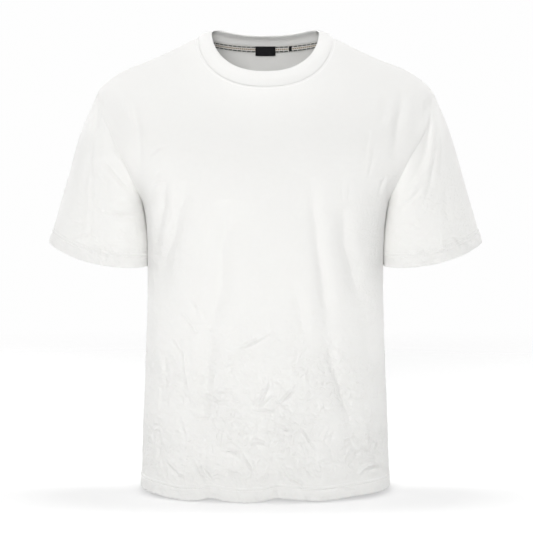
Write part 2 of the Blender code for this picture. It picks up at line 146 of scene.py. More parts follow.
def softenedRings(knots, rings):  # the rings at many levels, each averaged with its neighbours
    levels = np.linspace(knots[0], knots[-1], form["samples"])
    values = curveThrough(knots, rings, levels)
    step, sigma = levels[1] - levels[0], form["cornerRounding"]
    spread = int(3 * sigma / step)
    weights = np.exp(-((np.arange(-spread, spread + 1) * step / sigma) ** 2) / 2)
    before = 2 * values[0] - values[spread:0:-1]
    after = 2 * values[-1] - values[-2:-spread - 2:-1]
    padded = np.concatenate([before, values, after])
    total = sum(weight * padded[k:k + len(values)] for k, weight in enumerate(weights))
    return levels, total / weights.sum()


def bodySurface():  # the rings' levels, and a function from angle and level to a point on the body
    rings = np.array(list(form["body"].values()))
    knots = (travel(rings[:, 0:2]) + travel(rings[:, 2:4])) / 2
    softer = softenedRings(knots, rings)

    def pointAt(angle, level, back):
        exact = curveThrough(knots, rings, level)
        share = smoothStep(roundReach(angle, exact[..., -1])[1], 0, form["cornerReach"])[..., None]
        rounded = curveThrough(*softer, level)
        return ringPoint(exact, angle, back) * (1 - share) + ringPoint(rounded, angle, back) * share

    return knots, pointAt


def evenRow(pointAt, cut, columns, edgeCrowd=0.0):
    # a row of points from -X to +X between the seams, drawn together a little towards the seams
    angles = np.linspace(cut - math.pi / 2, math.pi / 2 - cut, form["samples"])
    length = travel(pointAt(angles))
    t = np.linspace(-1, 1, columns + 1)
    t = (1 + edgeCrowd) * t - edgeCrowd * t**7
    at = np.interp(length[-1] * (t + 1) / 2, length, angles)
    return pointAt((at - at[::-1]) / 2)


panelGrain = {  # how the body panels are divided; all counts are even
    "frontColumns": 248,
    "backColumns": 192,
    "edgeCrowd": 0.07,
    "hemRows": 20,            # within hemZone of the hem
    "hemZone": 0.026,
    "lowRows": 148,           # from there up to lowZone, where the cloth is most crumpled
    "lowZone": 0.290,
    "middleRows": 40,
    "rowsAtArmhole": 100,
    "rowsAboveArmhole": 28,
    "rowBend": 3,             # how late a row bends to meet the armhole
    "spreadBelow": 0.030,     # how far down and up the centre the armhole's rows fan out
    "spreadAbove": 0.025,
}


def panelLevels(knots):  # each row's level at the centre and at the seam, and how far the armhole cuts in
    names, grain = list(form["body"]), panelGrain
    armpit, tip = knots[names.index("armpit")], knots[names.index("tip")]
    low, high = armpit - grain["spreadBelow"], tip + grain["spreadAbove"]
    hem = np.concatenate([np.linspace(0, grain["hemZone"], grain["hemRows"] + 1),
                          np.linspace(grain["hemZone"], grain["lowZone"], grain["lowRows"] + 1)[1:]])
    belowCentre = np.linspace(grain["lowZone"], low, grain["middleRows"] + 1)[1:]
    belowSeam = np.linspace(grain["lowZone"], armpit, grain["middleRows"] + 1)[1:]
    turn = np.linspace(0, math.pi, grain["rowsAtArmhole"] + 1)[1:]
    aboveCentre = np.linspace(high, knots[-1], grain["rowsAboveArmhole"] + 1)[1:]
    aboveSeam = np.linspace(tip, knots[-1], grain["rowsAboveArmhole"] + 1)[1:]
    centre = np.concatenate([hem, belowCentre, low + (high - low) * turn / math.pi, aboveCentre])
    seam = np.concatenate([hem, belowSeam, armpit + (tip - armpit) * (1 - np.cos(turn)) / 2, aboveSeam])
    plain = len(hem) + len(belowCentre)
    cutIn = np.concatenate([np.zeros(plain), np.abs(np.sin(turn)), np.zeros(len(aboveCentre))])
    return centre, seam, cutIn, plain - 1


def panelGrid(columns, cut, back):
    knots, pointAt = bodySurface()
    rows = []
    for centre, seam, cutIn in zip(*panelLevels(knots)[:3]):
        limit = math.pi / 2 - cut * cutIn

        def onRow(angle):
            level = centre + (seam - centre) * np.abs(angle / limit) ** panelGrain["rowBend"]
            return pointAt(angle, level, back)

        rows.append(evenRow(onRow, cut * cutIn, columns, panelGrain["edgeCrowd"]))
    return np.array(rows)


sleeveGrain = {
    "rows": 96,
    "hemRows": 20,
    "hemZone": 0.028,
    "innerSquareness": 2.5,   # the sleeve's side against the body rounds over a little less than outside
    "innerIn": 0.0075,        # and lies this much closer, at the cuff
}


def sleeveGrid(front, back, side):  # rows from the armhole to the cuff, each from the shoulder down the front
    first, count = panelLevels(bodySurface()[0])[3], panelGrain["rowsAtArmhole"]
    column = -1 if side > 0 else 0
    downFront = front[first:first + count + 1, column][::-1]
    upBack = back[first:first + count + 1, column]
    start = np.concatenate([downFront, upBack[1:]])
    turns = np.arange(len(start)) * math.pi / count
    sections = [start]
    for place, row in enumerate(form["sleeve"].values()):
        squareness = np.where(np.cos(turns) < 0, sleeveGrain["innerSquareness"], row.squareness)
        deep, outward = roundReach(turns, squareness)
        y = np.where(deep > 0, row.frontY, -row.backY) * deep
        drop = np.where(deep > 0, row.frontDrop, row.backDrop) * deep**2
        x = (row.outerX + row.innerX) / 2 + (row.outerX - row.innerX) / 2 * outward
        x -= sleeveGrain["innerIn"] * min(place, 2) / 2 * smoothStep(-outward, 0, 1)
        z = (row.outerZ + row.innerZ) / 2 + (row.outerZ - row.innerZ) / 2 * outward - drop
        sections.append(np.stack([side * x, y, z], axis=-1))
    sections = np.array(sections)
    knots = np.concatenate([[0.0], np.cumsum(np.linalg.norm(np.diff(sections, axis=0), axis=2).mean(axis=1))])
    cuff = knots[-1] - sleeveGrain["hemZone"]
    levels = np.concatenate([np.linspace(0, cuff, sleeveGrain["rows"] + 1),
                             np.linspace(cuff, knots[-1], sleeveGrain["hemRows"] + 1)[1:]])
    return np.array([curveThrough(knots, sections, level) for level in levels])


# Creases, in millimetres and seen from the front. Each is a bow from its start (x, z) through its middle to
# its end, then its width, its depth (a trough's is under 0, a ridge's over 0) and its lean, which raises
# a lip on its right (+) or left (-).

frontCreases = [
    # long, soft folds down the body
    (-117, -225, -139, -306, -168, -399, 11.1, -7, 0.5),
    (-148, -220, -157, -286, -172, -367, 6.5, -4.4, 0.7),
    (-57, -252, -68, -357, -80, -449, 14.5, -8.5, 0.4),
    (-84, -439, -87, -518, -96, -599, 12, -9.5, 0.4),
    (67, -219, 82, -345, 96, -461, 10.4, -5.6, -0.5),
    (90, -443, 113, -539, 146, -628, 13, -6.4, -0.5),
    (43, -375, 52, -425, 61, -479, 9, -2.8, -0.5),
    (114, -262, 127, -340, 151, -427, 12.3, -7.6, -0.5),
    (148, -421, 160, -481, 175, -553, 12.3, -6.4, -0.4),
    (-122, -455, -120, -500, -113, -542, 2.8, 3.6, 1),
    (-116, -530, -110, -551, -99, -564, 2.6, 2.5, 1),
    (-168, -402, -160, -491, -157, -588, 8.5, 3.6, 0),
    (175, -565, 169, -613, 178, -670, 10.4, -5, 0.3),
    (-176, -215, -175, -290, -172, -390, 13, 5.3, 0),
    (178, -215, 177, -290, 174, -390, 13, 5.9, 0),
    # the chest and shoulders
    (-202, -92, -191, -150, -187, -223, 8, -3.8, 0.6),
    (211, -83, 201, -132, 192, -192, 8.5, -5.4, -0.6),
    (-217, -82, -208, -115, -193, -145, 6, 2.1, 0),
    (186, -90, 178, -120, 172, -144, 8, -2.2, 0.5),
    (113, -219, 114, -243, 116, -270, 3, -0.9, 0.6),
    (126, -213, 126, -237, 125, -261, 3, -0.8, 0.6),
    (158, -145, 158, -163, 150, -201, 2.6, 1.1, 0.8),
    (162, -172, 159, -196, 153, -219, 2.6, -1.2, 0.8),
    (-173, -189, -163, -177, -149, -173, 2.4, -1.8, 0.8),
    (-173, -238, -161, -227, -148, -224, 2.4, -2, 0.8),
    (-170, -217, -161, -208, -152, -205, 2.2, 1.6, 0.8),
    (169, -247, 174, -229, 181, -217, 2.4, -2, 0.8),
    # the wave of the hem
    (-87, -611, -92, -661, -89, -730, 11.5, -3, 0),
    (22, -626, 20, -664, 22, -730, 11.5, -5, 0),
    (-29, -620, -27, -670, -26, -730, 15, 4.4, 0),
    (85, -611, 82, -664, 79, -730, 17, 4.4, 0),
    (-125, -611, -122, -661, -119, -730, 11, 2.4, 0),
    (129, -611, 132, -655, 135, -730, 12, -3, 0),
    # sharp little creases in the lower half
    (-44, -473, -20, -464, 10, -446, 2.6, -4.1, 0.9),
    (8, -514, -2, -540, -17, -564, 2.6, 4.4, -1),
    (14, -543, 4, -552, -8, -564, 2.3, -3.2, 0.9),
    (47, -525, 34, -542, 14, -560, 2.5, 5.1, 1),
    (16, -520, 25, -530, 34, -542, 2.2, -2.4, 0.8),
    (20, -552, 29, -560, 41, -570, 2.3, -3.1, 0.8),
    (-23, -569, -5, -566, 20, -570, 2.4, 2.8, -1),
    (20, -590, 28, -593, 38, -597, 2.4, 3.5, 1),
    (-68, -624, -53, -626, -35, -634, 2.5, 4.8, 1),
    (-35, -627, -26, -642, -14, -660, 2.4, -4.1, 0.9),
    (-41, -587, -35, -605, -32, -623, 2.6, 3.2, 1),
    (-24, -620, -14, -611, 1, -618, 2.4, 3.2, -1),
    (-20, -626, -11, -618, 1, -624, 2.2, -2.2, 0),
    (17, -626, 23, -627, 31, -626, 2.2, -2.8, 0.9),
    (17, -634, 23, -636, 31, -634, 2.2, 2.4, 0.9),
    (23, -640, 28, -658, 38, -672, 2.5, -4.3, 0.9),
    (34, -669, 46, -673, 61, -681, 2.6, -4.8, 0.9),
    (-98, -645, -90, -664, -77, -675, 2.6, -4.4, 0.9),
    (-107, -639, -99, -658, -89, -673, 2.4, 3.5, 1),
    (-151, -639, -137, -655, -118, -664, 2.6, 4.4, 1),
    (-158, -640, -154, -658, -148, -676, 2.4, -3.5, 0.9),
    (-164, -598, -161, -625, -164, -658, 2.8, -3.2, 0.9),
    (50, -593, 61, -611, 71, -633, 2.6, 3.2, -1),
    (95, -591, 89, -600, 85, -611, 2.3, 2.8, 0.9),
    (102, -599, 99, -609, 95, -621, 2.3, -2.4, 0.9),
    (142, -672, 153, -657, 177, -661, 2.6, 4.1, -1),
    (154, -667, 165, -663, 178, -664, 2.4, -3.5, 0.8),
    (-111, -569, -101, -578, -83, -575, 2.6, -3.1, 0.9),
    (-77, -540, -62, -537, -41, -540, 2.8, -2.4, 0.8),
    (-78, -557, -65, -554, -50, -557, 2.6, 2.2, 0.8),
    (-150, -481, -142, -494, -135, -506, 2.4, -3.1, 0.9),
    (-139, -458, -128, -476, -119, -485, 2.4, 2.8, 1),
    (-130, -419, -116, -434, -101, -455, 2.6, -2.8, 0.8),
    (-113, -396, -101, -411, -98, -434, 2.6, 2.8, 0.9),
    (-126, -581, -119, -596, -116, -620, 2.6, 3.1, 0.9),
    (79, -649, 96, -643, 117, -652, 2.6, -3.1, 0.9),
    (-59, -655, -50, -667, -44, -679, 2.4, -2.8, 0.9),
    (-152, -474, -151, -498, -148, -522, 2.4, -3, 0.9),
    (-143, -520, -146, -546, -144, -571, 2.6, 2.8, 1),
    (-160, -522, -157, -549, -159, -580, 2.6, -2.8, 0.9),
    (148, -585, 156, -604, 160, -630, 2.6, -2.8, 0.9),
    (131, -604, 137, -622, 146, -634, 2.4, 2.6, 1),
    (-6, -592, 4, -600, 10, -612, 2.4, -2.6, 0.9),
    (58, -645, 66, -660, 80, -668, 2.4, -2.6, 0.9),
    # the sleeves' fronts
    (-249, -89, -265, -165, -280, -311, 4.6, -3.9, -0.5),
    (-245, -92, -261, -174, -265, -314, 4.2, -3.7, 0.9),
    (-239, -113, -247, -177, -247, -232, 7, 1.8, 0),
    (-245, -192, -227, -214, -201, -247, 4.4, -3.2, 0.9),
    (-239, -177, -221, -198, -200, -229, 5, 2.1, 0),
    (-247, -267, -221, -275, -191, -271, 2.9, -4.4, 0.9),
    (-233, -255, -215, -252, -194, -256, 4, 1.8, 0),
    (-224, -293, -215, -302, -203, -317, 3.8, -1.6, 0.9),
    (-294, -311, -276, -302, -250, -314, 3.6, -2.1, 0.9),
    (-302, -290, -291, -285, -282, -290, 2.6, -1.8, 0.9),
    (244, -101, 247, -162, 206, -253, 5.2, -4.5, -0.8),
    (255, -92, 259, -162, 243, -253, 4.6, -3.7, 0.8),
    (263, -113, 267, -177, 264, -217, 4.2, -2.4, 0.8),
    (235, -119, 226, -165, 208, -211, 7, 2.2, 0),
    (273, -223, 276, -261, 284, -302, 6, -1.8, 0.6),
    (203, -262, 223, -250, 235, -235, 2.8, -2.6, 0.9),
    (202, -290, 217, -287, 235, -296, 2.8, -2, 0.8),
    (284, -308, 294, -314, 299, -329, 2.8, -2.9, 0.9),
    (302, -302, 308, -311, 314, -323, 2.6, 2, 0.9),
]

backCreases = [
    (-120, -150, -100, -340, -70, -520, 18, -5, 0.6),
    (130, -140, 112, -310, 85, -500, 18, -5.4, -0.6),
    (-10, -260, -22, -440, -40, -640, 20, -4, 0.5),
    (150, -380, 136, -560, 110, -740, 18, -6.4, -0.7),
    (-150, -400, -132, -570, -105, -750, 19, -6.4, 0.7),
    (30, -520, 34, -640, 35, -760, 21, -6.4, 0),
    (-196, -100, -188, -170, -186, -240, 12, -4.2, 0.7),
    (198, -100, 190, -170, 186, -240, 12, -4.2, -0.7),
    (60, -180, 52, -290, 34, -400, 13, -1.8, 0.6),
    (-60, -610, -40, -622, -12, -650, 4.5, -1.3, 1),
    (66, -575, 82, -596, 94, -630, 4.2, 1.2, -1),
    (-2, -540, 18, -548, 44, -538, 4.2, -1.1, 0.8),
    (-118, -560, -104, -580, -82, -586, 4.4, 1.2, 1),
    (-250, -110, -262, -200, -270, -300, 11, -4.2, 0.7),
    (252, -110, 264, -200, 268, -300, 11, -4.2, -0.7),
    (-236, -200, -220, -222, -206, -252, 6, -1.4, 0.8),
    (238, -190, 222, -214, 204, -236, 6, -1.4, 0.8),
    # below the neck tape, where the inside shows
    (-6, -33, 10, -38, 30, -30, 4, -1.1, 0.8),
    (-48, -26, -34, -36, -20, -40, 4, -1, 0.8),
    (48, -22, 56, -30, 66, -34, 3.6, 0.9, 0.8),
]

handling = {  # the small crumple that washing and folding leave
    "swell": 0.0011,          # height and size of the broadest unevenness
    "swellSize": 0.095,
    "crumple": 0.0014,        # height of its lines, and their spacing across and up the cloth
    "crumpleSize": (0.024, 0.040),
    "fine": 0.00105,          # the same for the finer lines between them
    "fineSize": (0.012, 0.018),
    "bend": (0.006, 0.040),   # how far the lines wander, and how often
    "patchSize": (0.030, 0.042),  # patches where the lines of the crumple break off
    "patchEdge": (-0.28, 0.30),
    "finePatchEdge": (-0.20, 0.30),
    "fineLeast": 0.25,        # share of the finer lines that is left between the patches
    "sharpness": (4.2, 2.8),
    "least": 0.10,            # share of the crumple that is everywhere
    "onSides": 0.35,          # share of it where a panel has turned to the side
    "onSleeves": 0.8,
    "seed": {"front": 11, "back": 51, "sleeveLeft": 81, "sleeveRight": 97},
}

creaseShape = {
    "pieces": 16,             # straight pieces in each bow
    "reach": 4.0,             # how far to the side a crease is felt, in its widths
    "rippleLength": 0.045,    # its line wanders and its width and depth change about this often
    "wander": 0.35,
    "widthChange": 0.25,
    "depthChange": 0.30,
    "lipAt": 1.6,             # in widths from its line
    "lipShare": 0.45,
    "seed": 21,
}


def creasePush(places, creases):  # how far the creases push each place out, seen from the front
    push = np.zeros(len(places))
    pieces = creaseShape["pieces"]
    steps = np.linspace(0, 1, pieces + 1)[:, None]
    for number, row in enumerate(creases):
        start, middle, end = np.array(row[:6]).reshape(3, 2) / 1000
        broad, depth, lean = row[6] / 1000, row[7] / 1000, row[8]
        pull = 2 * middle - (start + end) / 2
        curve = (1 - steps) ** 2 * start + 2 * steps * (1 - steps) * pull + steps**2 * end
        reach = creaseShape["reach"] * broad
        inside = np.all((places > curve.min(axis=0) - reach) & (places < curve.max(axis=0) + reach), axis=1)
        near = places[inside]
        if not len(near):
            continue
        step = np.diff(curve, axis=0)
        offset = near[:, None] - curve[:-1]
        along = np.clip((offset * step).sum(-1) / (step * step).sum(-1), 0, 1)
        gap = offset - along[..., None] * step
        away = np.linalg.norm(gap, axis=-1)
        nearest = away.argmin(axis=1)
        pick = np.arange(len(near)), nearest
        turn = step[nearest, 0] * gap[pick][:, 1] - step[nearest, 1] * gap[pick][:, 0]
        along = (nearest + along[pick]) / pieces
        length = np.linalg.norm(end - start)
        ripple = softNoise(along * length / creaseShape["rippleLength"] + 7.3 * number,
                           np.full(len(near), number * 3.7), creaseShape["seed"])
        sideways = -np.sign(turn) * away[pick] + creaseShape["wander"] * broad * ripple
        width = broad * (1 + creaseShape["widthChange"] * ripple)
        fade = np.sin(math.pi * along) ** 0.7 * (1 + creaseShape["depthChange"] * ripple)
        shape = np.exp(-np.abs(sideways / width) ** 1.5)
        fromLip = sideways - math.copysign(creaseShape["lipAt"], lean) * width
        lip = abs(lean) * np.exp(-np.abs(fromLip / width) ** 1.7)
        push[inside] += depth * fade * (shape - creaseShape["lipShare"] * lip)
    return push


def ridges(x, y, seed, sharpness):  # thin lines where the noise crosses 0
    return (1 - np.minimum(1, sharpness * np.abs(softNoise(x, y, seed)))) ** 1.4


def crossedRidges(x, y, size, seed, sharpness, side):  # ridges, and troughs slantwise across them
    slantX, slantY = (x + side * y) / 1.4, (y - side * x) / 1.4
    return (ridges(x / size[0], y / size[1], seed, sharpness)
            - ridges(slantX / size[0], slantY / size[1], seed + 1, sharpness))


def crumplePush(cloth, amount, seed):
    x, y = cloth[:, 0], cloth[:, 1]
    bend, bendSize = handling["bend"]
    bentX = x + bend * softNoise(x / bendSize, y / bendSize, seed + 1)
    bentY = y + bend * softNoise(x / bendSize, y / bendSize, seed + 2)
    broad, narrow = handling["sharpness"]
    large = crossedRidges(bentX, bentY, handling["crumpleSize"], seed + 3, broad, 1)
    fine = crossedRidges(bentX, bentY, handling["fineSize"], seed + 5, narrow, -1)
    patchX, patchY = handling["patchSize"]
    least = handling["fineLeast"]
    large *= smoothStep(softNoise(x / patchX, y / patchY, seed + 8), *handling["patchEdge"])
    finePatch = smoothStep(softNoise(x / patchX + 5, y / patchY, seed + 9), *handling["finePatchEdge"])
    fine *= least + (1 - least) * finePatch
    swell = softNoise(x / handling["swellSize"], y / handling["swellSize"], seed + 7)
    return handling["swell"] * swell + amount * (handling["crumple"] * large + handling["fine"] * fine)


crumpleZones = {  # how much, and where it sets in below the shoulder line and out from the middle
    "low": (1.0, (0.37, 0.58), None),
    "hem": (-0.55, (0.664, 0.684), None),  # less again, as the doubled cloth is stiffer
    "flank": (0.55, (0.22, 0.36), (0.09, 0.16)),
    "sleeve": (0.38, (0.14, 0.26), (0.20, 0.25)),
}


def crumpleAmount(points, back):  # more crumple low on the body, at the flanks and towards the cuffs
    x, z = np.abs(points[:, 0]), points[:, 2]
    low, hem, flank, sleeve = (share * smoothStep(-z, *down) * (smoothStep(x, *out) if out else 1)
                               for share, down, out in crumpleZones.values())
    patch = 0.80 + 0.45 * softNoise(points[:, 0] / 0.07 + 3, points[:, 2] / 0.06 + (9 if back else 0), 5)
    return np.clip(handling["least"] + np.maximum(low + hem, np.maximum(flank, sleeve)) * patch, 0.06, 1.2)


# Each piece is first a grid of points on the form, with how far along its cloth each point is

def clothLengths(grid):  # metres across from the middle column and up from the first row
    acrossSteps = np.linalg.norm(np.diff(grid, axis=1), axis=2)
    across = np.concatenate([np.zeros((len(grid), 1)), np.cumsum(acrossSteps, axis=1)], axis=1)
    across -= across[:, -1:] / 2
    upSteps = np.linalg.norm(np.diff(grid, axis=0), axis=2)
    up = np.concatenate([np.zeros((1, grid.shape[1])), np.cumsum(upSteps, axis=0)])
    return np.stack([across, up], axis=-1)


def cutSize(piece):  # width and length laid flat, to the edge of the hem
    grid, lengths = piece["grid"], piece["cloth"]
    across, up = lengths[:, -1, 0] - lengths[:, 0, 0], lengths[-1, :, 1]
    if piece["closed"]:
        return across.max(), up.max()
    armpit = panelLevels(bodySurface()[0])[3]
    neckEnd = grid[-1, 0, 0]  # a body panel is measured straight up to the shoulder seam's end at the neck
    line = [[np.interp(neckEnd, row[:, 0], row[:, axis]) for axis in range(3)] for row in grid]
    return across[:armpit + 1].max(), travel(np.array(line))[-1]


def gridNormals(grid, closed):
    down, side = np.gradient(grid, axis=0), np.gradient(grid, axis=1)
    if closed:
        side[:, 0] = side[:, -1] = grid[:, 1] - grid[:, -2]
    return unit(np.cross(side, down))


def sharePoints(pieces):  # numbers the points that pieces share, so that seams agree from piece to piece
    stacked = np.concatenate([piece["grid"].reshape(-1, 3) for piece in pieces])
    number = np.unique(np.round(stacked / 1e-7).astype(np.int64), axis=0, return_inverse=True)[1].reshape(-1)
    first = 0
    for piece in pieces:
        count = piece["grid"][..., 0].size
        piece["shared"] = number[first:first + count]
        first += count
    return number.max() + 1


def averaged(pieces, key, total):  # a value at each point, averaged over the pieces that share the point
    width = pieces[0][key].shape[-1] if pieces[0][key].ndim == 3 else 1
    sums, counts = np.zeros((total, width)), np.zeros((total, 1))
    for piece in pieces:
        np.add.at(sums, piece["shared"], piece[key].reshape(-1, width))
        np.add.at(counts, piece["shared"], 1)
    mean = sums / np.maximum(counts, 1)
    for piece in pieces:
        piece[key] = mean[piece["shared"]].reshape(piece[key].shape)


seams = {
    "dip": 0.0007,            # how far the cloth dives at a seam, and over what width
    "dipWidth": 0.0030,
    "allowance": 0.00045,     # the swell of the turned-in edge beside a seam
    "allowanceWidth": 0.0065,
    "neckDip": 0.0004,
    "sleeveDip": 0.0005,      # the same at the sleeve's own seam, under the arm
    "sleeveDipWidth": 0.0022,
    "calm": 0.006,            # within this of a seam the cloth is held flatter
    "calmLeast": 0.55,        # the share of its unevenness that is left there
    "neckCalm": 0.012,
}

armholeFill = {  # the cloth bridges the hollow between body and sleeve
    "push": 0.0090,
    "onBody": 0.030,          # over what width on each side of the seam
    "onSleeve": 0.045,
    "from": (0.095, 0.150),   # below the shoulder line it sets in, and goes out towards the armpit
    "to": (0.225, 0.265),
}

underArm = {  # the sleeve's cloth lies beside the body's there, and is held just off it
    "clear": 0.0002,
    "soft": 0.0003,           # how softly it bends away
    "below": (0.244, 0.272),  # below the shoulder line this sets in, and is full
    "columns": 60,            # how much of each panel beside its seam it is held off
    "reach": 0.030,
}

hemWave = {  # how far the hem rises (+) or sinks, at places from the wearer's right to left
    "front": [(-0.194, 0.0048), (-0.166, 0.0024), (-0.132, -0.0018), (-0.099, -0.0010), (-0.081, 0.0030),
              (-0.060, -0.0012), (-0.027, -0.0024), (-0.006, -0.0012), (0.012, 0.0030), (0.029, 0.0028),
              (0.060, 0.0000), (0.089, -0.0008), (0.133, 0.0028), (0.168, 0.0042), (0.194, 0.0048)],
    "back": [(-0.194, 0.0048), (-0.150, 0.0010), (-0.105, 0.0034), (-0.060, -0.0016), (-0.010, 0.0012),
             (0.036, 0.0036), (0.080, -0.0014), (0.120, 0.0028), (0.160, 0.0006), (0.194, 0.0048)],
    "reach": 0.085,
}

hems = {
    "height": {"body": 0.0205, "cuff": 0.0215},
    "turnedIn": 0.002,        # more cloth that is turned up than the hem is high
    "rowsApart": 0.0048,      # between the two rows of stitches
    "swell": 0.00140,         # how far the doubled cloth stands out
    "swellEnd": (-0.0004, 0.0016),  # from here to here above the stitches it comes back
    "groove": 0.00115,        # how deep the stitches pull in
    "grooveWidth": 0.0012,
    "pucker": 0.00080,
    "puckerSize": (0.011, 0.016),
    "puckerSlant": 0.6,
    "puckerEnd": (0.002, 0.012),
    "puckerSeed": {"front": 60, "back": 61, "sleeveLeft": 86, "sleeveRight": 102},
    "wall": 0.0009,
    "gap": 0.0001,
    "turnRows": 6,
    "returnRows": 6,
    "pastStitches": 0.001,    # how much of the turned-up cloth lies above its stitches
}


def fillAlong(z, distance, width):  # the bridging push, by the height of the seam and the distance from it
    (start, full), (least, end) = armholeFill["from"], armholeFill["to"]
    share = smoothStep(-z, start, full) * (1 - smoothStep(-z, least, end))
    return armholeFill["push"] * share * bell(distance, width)


def hemRise(x, fromEdge, side):
    knots, rises = np.array(hemWave[side]).T
    inside = np.clip(x, knots[0], knots[-1])
    return curveThrough(knots, rises, inside) * (1 - smoothStep(fromEdge, 0, hemWave["reach"]))


def hemPush(fromEdge, across, height, seed):  # the doubled band, its stitch grooves and its puckers
    above = fromEdge - height
    push = hems["swell"] * (1 - smoothStep(above, *hems["swellEnd"]))
    for row in (height, height - hems["rowsApart"]):
        push -= hems["groove"] * bell(fromEdge - row, hems["grooveWidth"])
    sizeX, sizeY = hems["puckerSize"]
    pucker = softNoise((across + hems["puckerSlant"] * fromEdge) / sizeX, fromEdge / sizeY, seed)
    return push + hems["pucker"] * pucker * (1 - smoothStep(above, *hems["puckerEnd"]))


def calmed(push, share):  # the cloth's unevenness beside a seam, where the share goes to 0
    least = seams["calmLeast"]
    return push.reshape(share.shape) * (least + (1 - least) * share)


def dressPanel(piece, name):
    grid, cloth, back = piece["grid"], piece["cloth"], name == "back"
    points, flat = grid.reshape(-1, 3), cloth.reshape(-1, 2)
    places = points[:, [0, 2]]
    facing = np.clip(piece["normal"].reshape(-1, 3)[:, 1] * (1 if back else -1), 0, 1) ** 0.5
    amount = crumpleAmount(points, back)
    push = creasePush(places, backCreases if back else frontCreases) * facing
    turned = handling["onSides"] + (1 - handling["onSides"]) * facing
    push += crumplePush(flat, amount, handling["seed"][name]) * turned
    edge = np.minimum(cloth[..., 0] - cloth[:, :1, 0], cloth[:, -1:, 0] - cloth[..., 0])
    neck = cloth[-1:, :, 1] - cloth[..., 1]
    seamShare, neckShare = smoothStep(edge, 0, seams["calm"]), smoothStep(neck, 0, seams["neckCalm"])
    push = calmed(push, seamShare) * neckShare
    push += seams["allowance"] * bell(edge, seams["allowanceWidth"]) * seamShare * neckShare
    push -= seams["dip"] * bell(edge, seams["dipWidth"])
    push -= seams["neckDip"] * bell(neck, seams["dipWidth"])
    push += fillAlong(grid[:, :1, 2], edge, armholeFill["onBody"])
    push += hemPush(cloth[..., 1], cloth[..., 0], hems["height"]["body"], hems["puckerSeed"][name])
    piece["push"], piece["crumple"] = push, amount.reshape(edge.shape)
    piece["rise"] = hemRise(grid[..., 0], cloth[..., 1], name)


def dressSleeve(piece, name):
    grid, cloth = piece["grid"], piece["cloth"]
    points, flat = grid.reshape(-1, 3), cloth.reshape(-1, 2)
    places, side = points[:, [0, 2]], piece["normal"].reshape(-1, 3)[:, 1]
    amount = crumpleAmount(points, False)
    push = creasePush(places, frontCreases) * np.clip(-side, 0, 1) ** 0.5
    push += creasePush(places, backCreases) * np.clip(side, 0, 1) ** 0.5
    push += crumplePush(flat, amount, handling["seed"][name]) * handling["onSleeves"]
    fromSeam = cloth[..., 1]
    fromCuff = cloth[-1:, :, 1] - cloth[..., 1]
    push = calmed(push, smoothStep(fromSeam, 0, seams["calm"]))
    push += seams["allowance"] * bell(fromSeam, seams["allowanceWidth"])
    push -= seams["dip"] * bell(fromSeam, seams["dipWidth"])
    push += fillAlong(grid[:1, :, 2], fromSeam, armholeFill["onSleeve"])
    push -= seams["sleeveDip"] * bell(cloth[..., 0], seams["sleeveDipWidth"])
    push += hemPush(fromCuff, cloth[..., 0], hems["height"]["cuff"], hems["puckerSeed"][name])
    piece["push"], piece["crumple"] = push, amount.reshape(fromSeam.shape)
    piece["rise"] = np.zeros(fromSeam.shape)


def deepestNear(push, reach):  # the deepest push near each point, so that the inner side clears every crease
    wide = np.pad(push, reach, mode="edge")
    rows, columns = push.shape
    span = range(2 * reach + 1)
    return np.min([wide[i:i + rows, j:j + columns] for i in span for j in span], axis=0)


def lineAcross(grid, normal, fromEdge, height):  # the points at a height in every column, and their normals
    points, normals = [], []
    for column in range(grid.shape[1]):
        place = np.interp(height, fromEdge[:, column], np.arange(len(fromEdge)))
        low = min(int(place), len(fromEdge) - 2)
        share = place - low
        points.append(grid[low, column] * (1 - share) + grid[low + 1, column] * share)
        normals.append(normal[low, column])
    return np.array(points), np.array(normals)


def turnedHem(piece, edgeFirst):
    # the rows that go on from the cloth's edge: round the fold, and back up inside
    rows = slice(None) if edgeFirst else slice(None, None, -1)
    grid, normal, cloth = (piece[key][rows] for key in ("grid", "normal", "cloth"))
    height = hems["height"]["body" if edgeFirst else "cuff"]
    inset = 2 * hems["wall"] + hems["gap"]
    fromEdge = np.abs(cloth[..., 1] - cloth[0, :, 1])
    away = unit(grid[0] - grid[2])
    middle = grid[0] - normal[0] * inset / 2
    made, lengths = [], []
    for angle in np.linspace(0, math.pi, hems["turnRows"] + 1)[1:]:
        made.append(middle + inset / 2 * (normal[0] * math.cos(angle) + away * math.sin(angle)))
        lengths.append(angle * inset / 2)
    first = lengths[-1]
    for up in np.linspace(0, height + hems["pastStitches"], hems["returnRows"] + 1)[1:]:
        points, normals = lineAcross(grid, normal, fromEdge, up)
        made.append(points - normals * inset)
        lengths.append(first + up)
    sign = -1 if edgeFirst else 1
    flat = [np.stack([cloth[0, :, 0], cloth[0, :, 1] + sign * length], axis=-1) for length in lengths]
    crumple = [piece["crumple"][rows][0]] * len(made)
    extra = {"grid": np.array(made), "cloth": np.array(flat), "crumple": np.array(crumple)}
    extra["lowered"] = np.zeros_like(extra["grid"])
    for key, value in extra.items():
        parts = [value[::-1], piece[key]] if edgeFirst else [piece[key], value]
        piece["whole" + key.capitalize()] = np.concatenate(parts)
    facing = gridNormals(piece["wholeGrid"], piece["closed"]) * (-1 if piece["flip"] else 1)
    piece["wholeInner"] = piece["wholeGrid"] + piece["wholeLowered"] - facing * hems["wall"]


